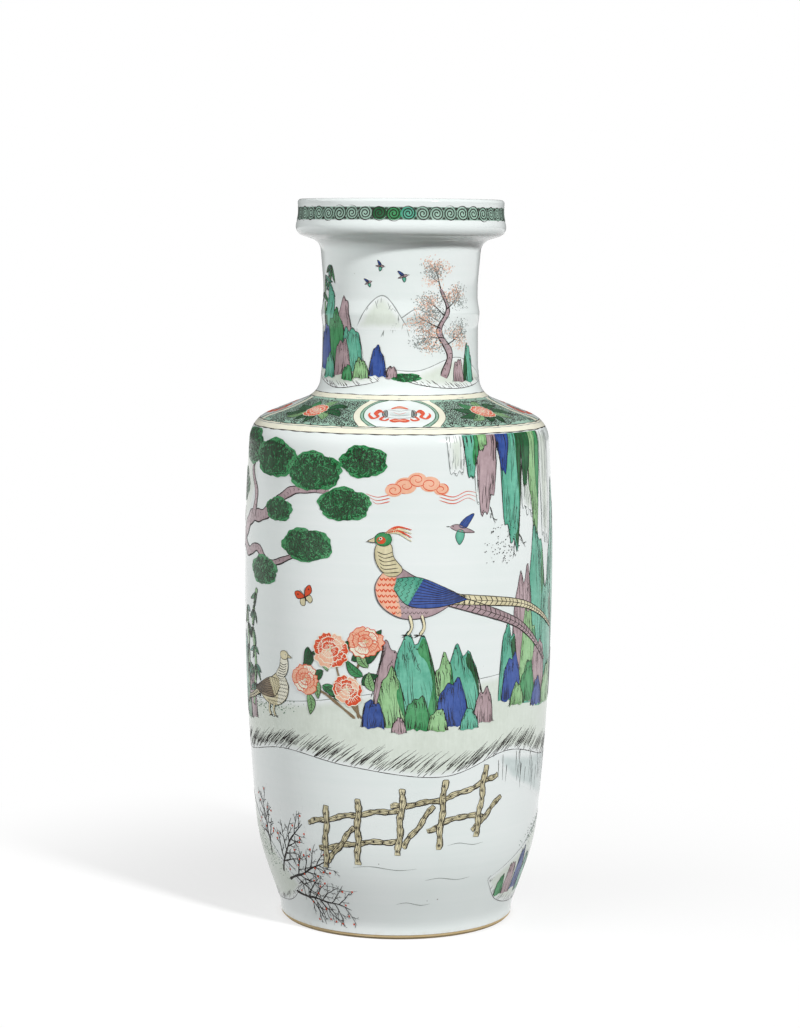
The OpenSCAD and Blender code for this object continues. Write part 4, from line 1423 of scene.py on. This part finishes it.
class VASE_OT_body(bpy.types.Operator):
    """Paints the front of the body: cliffs, pine, pheasants, peonies, banks, fence and twigs"""
    bl_idname = "vase.body"
    bl_label = "Body painting"

    def execute(self, context):
        p = Picture("body", body_place, 21, 2.0, LOWEST, heights("edge_band")[0] - CLEAR, BODY_BEND)
        for paint in (self.land, self.cliffs, self.pine, self.rock, self.bush, self.birds,
                      self.shore, self.fence, self.shrubs, self.air):
            paint(p)
        p.lay()
        return {"FINISHED"}

    def land(self, p):
        """Pale banks with hatched edges and the washes of sky at the sides."""
        p.level = 0
        sky = [(-184, 298), (-152, 314), (-126, 310), (-112, 285), (-128, 258), (-152, 246), (-180, 264)]
        p.fill("celadon", spline(sky, 3, True))
        p.level = 1
        top = [(196, 140), (170, 160), (120, 172), (60, 166), (0, 160), (-60, 150), (-104, 146), (-152, 142),
               (-186, 122)]
        bottom = [(196, 139), (168, 114), (130, 108), (78, 118), (30, 106), (-30, 112), (-80, 118),
                  (-130, 110), (-164, 112), (-186, 121)]
        bank(p, 15, top, bottom)
        p.level = 0.5
        haze = [(70, 116), (110, 112), (160, 116), (184, 104), (172, 88), (140, 78), (104, 90), (82, 100)]
        p.fill("mist", spline(haze, 3, True))
        p.level = 3
        lower_edge = (-172, -130, -80, -30, 30, 78, 130, 176), (115, 111, 119, 113, 107, 119, 109, 117)
        for k in range(420):
            u = p.rng.uniform(-172, 176)
            at = np.array([u, np.interp(u, *lower_edge)])
            if k % 3:
                at[1] += p.rng.uniform(-1, 5)
                hatch = [at, at + ray(40, p.rng.uniform(2, 8)), at + ray(37, p.rng.uniform(9, 17))]
                p.stroke("ink", hatch, 0.42, 0.6, 0.02, 0.9)
            elif u > 70:
                at[1] -= p.rng.uniform(-3, 12)
                p.stroke("ink", [at, at - (p.rng.uniform(-1, 1), p.rng.uniform(5, 20))], 0.5, 0.6, 0.02, 0.9)
        stipple(p, 118, 186, 46, 13, 420, "deep_green", 0.8, -0.1)
        stipple(p, -98, 143, 40, 6, 170, "deep_green", 0.75, 0.1)

    def cliffs(self, p):
        """Hanging crags at the top right, and a tall stand of rock with broken stones at its foot."""
        cliff(p, 3.6, (
            (118, 324, 22, -84, "celadon"), (36, 324, 16, -36, "celadon"), (54, 324, 19, -52, "celadon"),
            (93, 324, 22, -64, "celadon"), (60, 324, 20, -58, "aubergine", 0.06),
            (101, 324, 20, -68, "apple", 0, "leaf_green"),
            (81, 324, 24, -80, "turquoise", 0.05, "deep_green"),
            (46, 324, 15, -34, "turquoise", 0, "leaf_green"), (70, 324, 14, -32, "blue"),
            (91, 324, 13, -42, "deep_green"), (54, 324, 10, -20, "apple")))
        cliff(p, 5.7, (
            (146, 146, 46, 122, "turquoise", -0.08, "deep_green"),
            (116, 146, 40, 106, "turquoise", -0.1, "leaf_green"), (93, 150, 27, 82, "aubergine", -0.06),
            (130, 142, 36, 80, "turquoise", -0.1, "deep_green"),
            (104, 148, 25, 56, "apple", -0.16, "leaf_green"),
            (79, 150, 20, 46, "turquoise", -0.08, "deep_green"), (112, 146, 26, 38, "aubergine", -0.1),
            (81, 150, 20, 28, "blue", -0.1), (95, 147, 22, 24, "leaf_green"), (154, 142, 22, 30, "aubergine"),
            (126, 142, 26, 24, "apple"), (108, 143, 18, 16, "blue"), (84, 146, 16, 13, "apple")))
        p.level = 20
        stipple(p, 70, 246, 18, 16, 90, "ink", 0.7)
        for at in ((59, 270), (79, 248), (83, 252), (100, 260)):
            twigs(p, at, -70 + p.rng.uniform(-30, 20), 11, 2, 0.6)

    def pine(self, p):
        """An old pine that leans in from the left."""
        p.level = 6
        limb(p, [(-222, 74), (-210, 112), (-220, 150), (-206, 186), (-188, 218), (-160, 238), (-140, 244),
                 (-120, 258), (-98, 262), (-72, 278), (-44, 280)], 22, 3.5)
        p.level = 7
        limb(p, [(-140, 245), (-126, 236), (-108, 240), (-92, 232), (-66, 240)], 7, 2.5)
        limb(p, [(-116, 259), (-112, 274), (-120, 288), (-112, 298)], 5.5, 2.5)
        for k, clump in enumerate((
                (-124, 303, 38, 22), (-90, 297, 40, 22), (-56, 291, 38, 22), (-60, 246, 36, 19),
                (-100, 227, 30, 17), (-146, 277, 34, 20), (-34, 272, 32, 19), (-168, 256, 36, 21),
                (-22, 298, 28, 18), (-84, 266, 24, 14))):
            p.level = 9 + (k % 3) * 1.6
            pine_clump(p, *clump)

    def rock(self, p):
        """The garden rock in the middle."""
        cliff(p, 5, (
            (48, 139, 30, 47, "turquoise", -0.16, "deep_green"), (-10, 140, 26, 46, "aubergine", 0.12),
            (32, 139, 20, 40, "apple", -0.1, "leaf_green"),
            (17, 138, 34, 58, "turquoise", -0.12, "leaf_green"),
            (1, 138, 22, 33, "apple", -0.16, "leaf_green"), (37, 137, 25, 29, "blue", -0.1),
            (56, 138, 17, 21, "aubergine"), (12, 136, 19, 20, "leaf_green"), (-15, 137, 17, 17, "blue"),
            (25, 135, 15, 13, "apple"), (46, 135, 15, 12, "turquoise"), (1, 134, 11, 9, "aubergine")))

    def bush(self, p):
        """Peony stems, leaves and blossoms."""
        p.level = 10
        for points in ([(-22, 142), (-34, 160), (-40, 182)], [(-24, 142), (-26, 166), (-20, 186)],
                       [(-26, 142), (-46, 156), (-60, 160)]):
            p.stroke("bark", spline(points, 1.6), 1.7, 0.3, 0.02, 0.4)
        for k in range(19):
            p.level = 11.5 + (k % 4) * 1.2
            at = (-36 + 22 * math.sin(k * 2.4), 170 + 15 * math.cos(k * 1.7))
            tone = ("deep_green", "leaf_green", "apple", "deep_green")[k % 4]
            leaf(p, at, k * 137 % 360, p.rng.uniform(11, 16), 6.0, tone, bend=0.12)
        red, pale = ("iron_red", "cream", "peach"), ("peach", "iron_red", "cream")
        heads = (-42, 184, 13, red), (-20, 190, 11, pale), (-60, 164, 10.5, pale), (-31, 160, 10, red)
        for k, (u, v, size, tones) in enumerate(heads):
            p.level = 17 + k * 1.5
            peony(p, u, v, size, *tones)

    def birds(self, p):
        """Stones and bamboo at the left, and the pair of pheasants."""
        cliff(p, 5, ((-136, 134, 28, 46, "turquoise", 0, "deep_green"), (-120, 132, 18, 31, "aubergine"),
                     (-152, 130, 20, 31, "blue"), (-130, 130, 17, 20, "leaf_green", 0, "deep_green")))
        p.level = 11
        bamboo(p, [(-118, 140), (-112, 166), (-116, 192), (-108, 216)], 3.0)
        bamboo(p, [(-128, 150), (-126, 176), (-130, 204)], 3.0)
        p.level = 26
        pheasant(p.moved(7.8, 193.5, 1.06))
        p.level = 18
        pheasant(p.moved(-89, 137, 0.72, flip=True), False)
        p.moved(0, 0)

    def shore(self, p):
        """A low bank at the right with stones."""
        p.level = 3
        bank(p, 6, [(190, 44), (166, 64), (140, 66), (104, 50), (72, 36)],
             [(190, 43), (162, 18), (120, 14), (88, 20), (72, 35)])
        cliff(p, 5, ((112, 24, 15, 27, "blue"), (99, 22, 14, 22, "aubergine"),
                     (124, 20, 16, 26, "turquoise", 0, "leaf_green"), (88, 23, 11, 13, "leaf_green")))
        stipple(p, 135, 62, 34, 10, 260, "deep_green", 0.75, 0.2)

    def fence(self, p):
        """Two low rails, leaning struts, two top rails and five posts, each group before the last."""
        p.moved(10, 0)
        rails = [(-64, 58), (-34, 64), (-8, 66)], [(10, 72), (32, 80), (52, 78)]
        struts = [(-58, 50), (-38, 74)], [(-6, 62), (14, 88)], [(42, 70), (64, 90)]
        tops = [(-72, 74), (-36, 82), (-6, 86)], [(-14, 88), (20, 92), (60, 104)]
        posts = ([(-60, 46), (-57, 86)], [(-36, 50), (-35, 92)], [(-9, 57), (-6, 99)], [(18, 60), (21, 104)],
                 [(45, 66), (50, 111)])
        p.level = 3
        for group, width in ((rails, 3.2), (struts, 3.2), (tops, 3.2), (posts, 3.8)):
            for points in group:
                knotty(p, points, width)
            p.level += 1.4
        p.moved(0, 0)

    def shrubs(self, p):
        """A low bank at the left with bare twigs and red buds."""
        p.level = 3
        bank(p, 8, [(-194, 50), (-176, 76), (-148, 80), (-110, 58), (-78, 30)],
             [(-194, 49), (-170, 20), (-136, 14), (-98, 17), (-78, 29)])
        stipple(p, -122, 52, 40, 13, 420, "deep_green", 0.75, -0.4)
        p.level = 5
        tips = []
        shoots = (-96, 36, 62, 46), (-90, 32, 24, 48), (-108, 46, 92, 40), (-86, 25, -5, 52)
        for u, v, angle, size in shoots:
            twigs(p, (u, v), angle, size, 3, 1.7, tips)
        for u, v in tips[::5]:
            p.dot("iron_red", u, v, 1.5, 0.9)

    def air(self, p):
        """A red cloud, a butterfly and a bird above, and lines of mist below."""
        p.level = 2
        cloud(p.moved(4, 284, 0.78))
        p.level = 2
        butterfly(p.moved(-60, 214, 0.9, 24))
        swallow(p.moved(38, 258, 1.1, -10))
        p.moved(0, 0)
        for u, v, w in ((-30, 48, 44), (20, 40, 34), (34, 62, 28), (-58, 32, 30), (0, 24, 26)):
            mist = [(u, v), (u + w * 0.3, v + 1.2), (u + w * 0.7, v - 0.8), (u + w, v)]
            p.stroke("grey", spline(mist, 2.4), 0.4, 0.5, 0.3)


class VASE_OT_body_back(bpy.types.Operator):
    """Paints the back of the body: prunus, bamboo, chrysanthemums and far hills"""
    bl_idname = "vase.body_back"
    bl_label = "Body painting at the back"

    def execute(self, context):
        p = Picture("back", body_place, 33, 2.2, LOWEST, heights("edge_band")[0] - CLEAR, BODY_BEND)
        for paint in (self.land, self.prunus, self.plants):
            paint(p)
        p.lay()
        return {"FINISHED"}

    def land(self, p):
        """Far hills, and a bank with stones before them."""
        far_hills(p, 184, 190, (8, 14), ((212, 62, 232, "mist"), (262, 54, 250, "celadon"),
                                         (306, 66, 226, "mist"), (352, 60, 244, "celadon")))
        p.level = 4
        bank(p, 12, [(202, 72), (224, 98), (250, 98), (310, 104), (372, 92), (402, 90), (424, 64)],
             [(202, 71), (224, 48), (250, 52), (310, 36), (372, 46), (402, 42), (424, 63)])
        cliff(p, 5, ((246, 86, 22, 44, "turquoise", 0, "deep_green"), (266, 84, 18, 37, "aubergine"),
                     (228, 84, 17, 29, "blue"), (252, 82, 17, 22, "leaf_green", 0, "deep_green")))

    def prunus(self, p):
        """An old trunk with four branches in blossom."""
        p.level = 12
        limb(p, [(300, 92), (292, 130), (306, 166), (292, 204), (304, 240)], 14, 5)
        p.level = 13.4
        ends = []
        for points in ([(294, 136), (270, 158), (262, 188), (240, 206)],
                       [(304, 168), (330, 186), (344, 214), (368, 226)],
                       [(294, 204), (272, 226), (268, 254), (250, 272)],
                       [(303, 238), (320, 258), (316, 284), (334, 298)]):
            path = limb(p, points, 5, 1.6, False)
            for i in range(8, len(path), 8):
                twigs(p, path[i], p.rng.uniform(20, 160), 14, 1, 0.9, ends)
                ends.append(path[i])
        for k, (u, v) in enumerate(ends[::2]):
            p.level = 15 + (k % 3) * 1.2
            tone, line = (("peach", "iron_red"), ("cream", "iron_red"), ("iron_red", "cream"))[k % 3]
            blossom(p, u, v, p.rng.uniform(6, 9), tone, line)

    def plants(self, p):
        """Bamboo at one side, chrysanthemums at the other, and two butterflies."""
        p.level = 12
        bamboo(p, [(214, 90), (218, 150), (214, 214), (222, 270)], 4.2)
        bamboo(p, [(226, 92), (234, 140), (232, 190), (240, 240)], 4.2)
        for k, (u, v, tone, line) in enumerate(((344, 118, "ochre", "bark"), (362, 134, "aubergine", "blue"),
                                                (378, 112, "iron_red", "cream"))):
            p.level = 12 + k * 2
            p.stroke("deep_green", spline([(352, 84), (u - 4, v - 16), (u, v)], 1.6), 1.3, 0.2, 0.05)
            for j, angle in enumerate((200, -20, 160, 20, -60)):
                at = (u + j * 2 - 4, v - 12 - j * 3)
                leaf(p, at, angle, 11, 5.5, ("deep_green", "leaf_green", "apple")[j % 3])
            p.level += 2
            chrysanthemum(p, u, v, 10, tone, line)
        p.level = 3
        butterfly(p.moved(386, 196, 1.3, -20), "blue", "ochre")
        butterfly(p.moved(208, 296, 1.1, 30), "ochre", "iron_red")


class VASE_OT_neck(bpy.types.Operator):
    """Paints the neck: rocks with bamboo, a dotted tree, small banks, moss, far hills and birds"""
    bl_idname = "vase.neck"
    bl_label = "Neck painting"
    HIGHEST = 426

    def execute(self, context):
        p = Picture("neck", neck_place, 44, 1.5, heights("root_band")[1] + CLEAR, self.HIGHEST, NECK_BEND)
        for middle in (0, math.pi * NECK_R):
            self.land(p, middle)
            self.trees(p, middle)
        p.lay()
        return {"FINISHED"}

    def land(self, p, middle):
        """Far hills, two banks and the rocks on one side of the neck."""
        p.moved(middle, 0, flip=True)
        p.level = 0
        far_hills(p, 375, 377, (4, 6), ((-10, 40, 388, "mist"), (12, 32, 396, "celadon")))
        p.level = 2.5
        bank(p, 5, [(-72, 344), (-40, 358), (-10, 350), (16, 353)],
             [(-72, 343), (-40, 339), (-10, 342), (16, 352)])
        p.level = 3.5
        bank(p, 5, [(76, 348), (50, 361), (30, 356), (12, 345)], [(76, 347), (46, 339), (24, 341), (12, 344)])
        cliff(p, 6, (
            (58, 350, 24, 48, "turquoise", -0.1, "deep_green"), (34, 350, 20, 42, "aubergine", 0.12),
            (47, 352, 27, 33, "leaf_green"), (30, 350, 21, 27, "turquoise", 0.1), (60, 350, 22, 27, "blue"),
            (42, 347, 17, 22, "aubergine", -0.1), (14, 347, 13, 17, "blue"), (25, 345, 13, 12, "apple"),
            (53, 345, 15, 14, "turquoise"), (35, 344, 10, 9, "leaf_green"), (5, 346, 8, 7, "aubergine")))

    def trees(self, p, middle):
        """The dotted tree, bamboo, two stones, moss and three birds of the same side."""
        p.level = 6
        limb(p, [(-28, 346), (-33, 360), (-25, 374), (-31, 388), (-26, 400)], 5.2, 1.6)
        ends = []
        for start, angle in (((-31, 366), 150), ((-26, 376), 20), ((-30, 388), 150), ((-26, 400), 66),
                             ((-28, 384), 40), ((-29, 370), 4)):
            twigs(p, start, angle, 17, 2, 0.8, ends)
        for k, (u, v) in enumerate(ends):
            p.level = 8 + k % 2
            stipple(p, u, v, 9, 6, 90, "peach" if k % 5 in (1, 3) else "grey", 0.6)
        p.level = 6
        bamboo(p, [(52, 388), (55, 402), (51, 414)], 1.7)
        bamboo(p, [(58, 382), (64, 396), (62, 410)], 1.7)
        cliff(p, 5, ((-50, 343, 13, 22, "turquoise", 0, "deep_green"), (-40, 343, 11, 14, "aubergine")))
        p.level = 5
        pine_clump(p, -4, 346, 17, 5)
        for u, v, size, turn in ((-2, 408, 0.42, 14), (12, 414, 0.36, -8), (20, 404, 0.34, 20)):
            swallow(p.moved(middle - u, v, size, turn, True))


# ---------------------------------------------------------------- stage


class VASE_OT_stage(bpy.types.Operator):
    """Sets the pale floor, the soft lamps and the camera of the photograph"""
    bl_idname = "vase.stage"
    bl_label = "Stage"
    FLOOR = 6                     # half the floor's width in metres
    NEAR, FAR = 0.12, 0.42        # the floor fades to plain white between these distances from the axis
    KEY_AT = (5.04, -6.0, 5.0)    # far off, so that its light is even from foot to rim
    WHITE = (1, 1, 1, 1)

    def execute(self, context):
        context.scene.view_settings.view_transform = "Standard"
        look = context.scene.vase_stage
        self.floor(look)
        self.room(context.scene, look)
        self.lamp("key_lamp", self.KEY_AT, (0, 0, 0.26), (1.08, 1.08), look.key)
        self.lamp("glint_lamp", self.KEY_AT, (0, 0, 0.26), (0.72, 0.72), look.key * 0.3, True)
        self.lamp("fill_lamp", (-1.9, -0.85, 0.9), (0, 0, 0.25), (2.6, 1.3), look.fill)
        self.lamp("top_lamp", (0.15, 0.1, 1.7), (0, 0, 0.2), (1.0, 1.0), look.top)
        self.camera(context.scene, look)
        return {"FINISHED"}

    def floor(self, look):
        """A floor that shows the vase's shadow near its foot, and lights it less than it looks."""
        mesh, r = bpy.data.meshes.new("floor"), self.FLOOR
        mesh.from_pydata([(-r, -r, 0), (r, -r, 0), (r, r, 0), (-r, r, 0)], [], [(0, 1, 2, 3)])
        ground = new_object("floor", mesh)
        f = Finish("pale_floor")
        path = f.node("ShaderNodeLightPath")
        seen = (path + path.beside("Is Glossy Ray") + path.beside("Is Transmission Ray")).held()
        flat = f.node("ShaderNodeVectorMath", {"operation": "MULTIPLY"}, {0: f.at, 1: (1, 1, 0)})
        away = f.node("ShaderNodeVectorMath", {"operation": "LENGTH"}, {0: flat}, "Value")
        far = away.ramp(self.NEAR, self.FAR)
        lit = f.node("ShaderNodeBsdfDiffuse", {}, {0: blend(look.floor, (0, 0, 0), 0.58)})
        glow = f.node("ShaderNodeEmission", {}, {0: self.WHITE, 1: seen * 0.61})
        shown = f.node("ShaderNodeAddShader", {}, {0: lit, 1: glow})
        bounce = f.node("ShaderNodeBsdfDiffuse", {}, {0: blend(look.floor, (0, 0, 0), 0.89)})
        near = f.node("ShaderNodeMixShader", {}, {0: seen, 1: bounce, 2: shown})
        white = f.node("ShaderNodeEmission", {}, {0: self.WHITE, 1: 1.0})
        whole = f.node("ShaderNodeMixShader", {}, {0: far * seen, 1: near, 2: white})
        f.node("ShaderNodeOutputMaterial", {}, {0: whole})
        mesh.materials.append(f.material)

    def room(self, scene, look):
        """An even room light that is white where the camera sees it."""
        scene.world = bpy.data.worlds.new("studio")
        scene.world.use_nodes = True
        w = Graph(scene.world.node_tree)
        w.tree.nodes.clear()
        path = w.node("ShaderNodeLightPath")
        seen = (path + path.beside("Is Transmission Ray")).held()
        level = seen + (1 - seen) * look.world
        light = w.node("ShaderNodeBackground", {}, {0: self.WHITE, 1: level})
        w.node("ShaderNodeOutputWorld", {}, {0: light})

    def lamp(self, name, place, aim, size, power, mirrored=False):
        """An oval lamp that either lights the vase or only shows in its gloss."""
        light = bpy.data.lights.new(name, "AREA")
        light.shape, light.energy, (light.size, light.size_y) = "ELLIPSE", power, size
        made = new_object(name, light)
        made.location, made.visible_glossy, made.visible_diffuse = place, mirrored, not mirrored
        made.rotation_euler = (Vector(aim) - Vector(place)).to_track_quat("-Z", "Y").to_euler()

    def camera(self, scene, look):
        camera = bpy.data.cameras.new("camera")
        camera.lens, camera.sensor_width, camera.sensor_fit = look.lens, 36, "AUTO"
        scene.camera = new_object("camera", camera)
        turn = Matrix.Rotation(math.pi / 2 - look.tilt, 4, "X") @ Matrix.Rotation(look.roll, 4, "Z")
        scene.camera.matrix_world = Matrix.Translation((look.aside, -look.distance, look.height)) @ turn


# ---------------------------------------------------------------- add-on


class VASE_PT_panel(bpy.types.Panel):
    """Shows the vase's settings and its steps in the sidebar"""
    bl_idname = "VASE_PT_panel"
    bl_label = "Rouleau Vase"
    bl_space_type = "VIEW_3D"
    bl_region_type = "UI"
    bl_category = "Vase"

    def draw(self, context):
        for group in (context.scene.vase_glaze, context.scene.vase_enamels, context.scene.vase_stage):
            box = self.layout.box()
            for name in group.bl_rna.properties.keys():
                if name not in ("rna_type", "name"):
                    box.prop(group, name)
        for kind in STEPS:
            self.layout.operator(kind.bl_idname)


STEPS = (VASE_OT_glaze, VASE_OT_clay, VASE_OT_rim_scrolls, VASE_OT_cream_bands, VASE_OT_shoulder,
         VASE_OT_body, VASE_OT_body_back, VASE_OT_neck, VASE_OT_stage)
CLASSES = (VaseGlazeSettings, VaseEnamelSettings, VaseStageSettings, *STEPS, VASE_PT_panel)


def register():
    for kind in CLASSES:
        bpy.utils.register_class(kind)
    bpy.types.Scene.vase_glaze = bpy.props.PointerProperty(type=VaseGlazeSettings)
    bpy.types.Scene.vase_enamels = bpy.props.PointerProperty(type=VaseEnamelSettings)
    bpy.types.Scene.vase_stage = bpy.props.PointerProperty(type=VaseStageSettings)


def unregister():
    for name in ("vase_glaze", "vase_enamels", "vase_stage"):
        delattr(bpy.types.Scene, name)
    for kind in reversed(CLASSES):
        bpy.utils.unregister_class(kind)


def main():
    register()
    for kind in STEPS:
        group, name = kind.bl_idname.split(".")
        getattr(getattr(bpy.ops, group), name)()


if __name__ == "__main__":
    main()
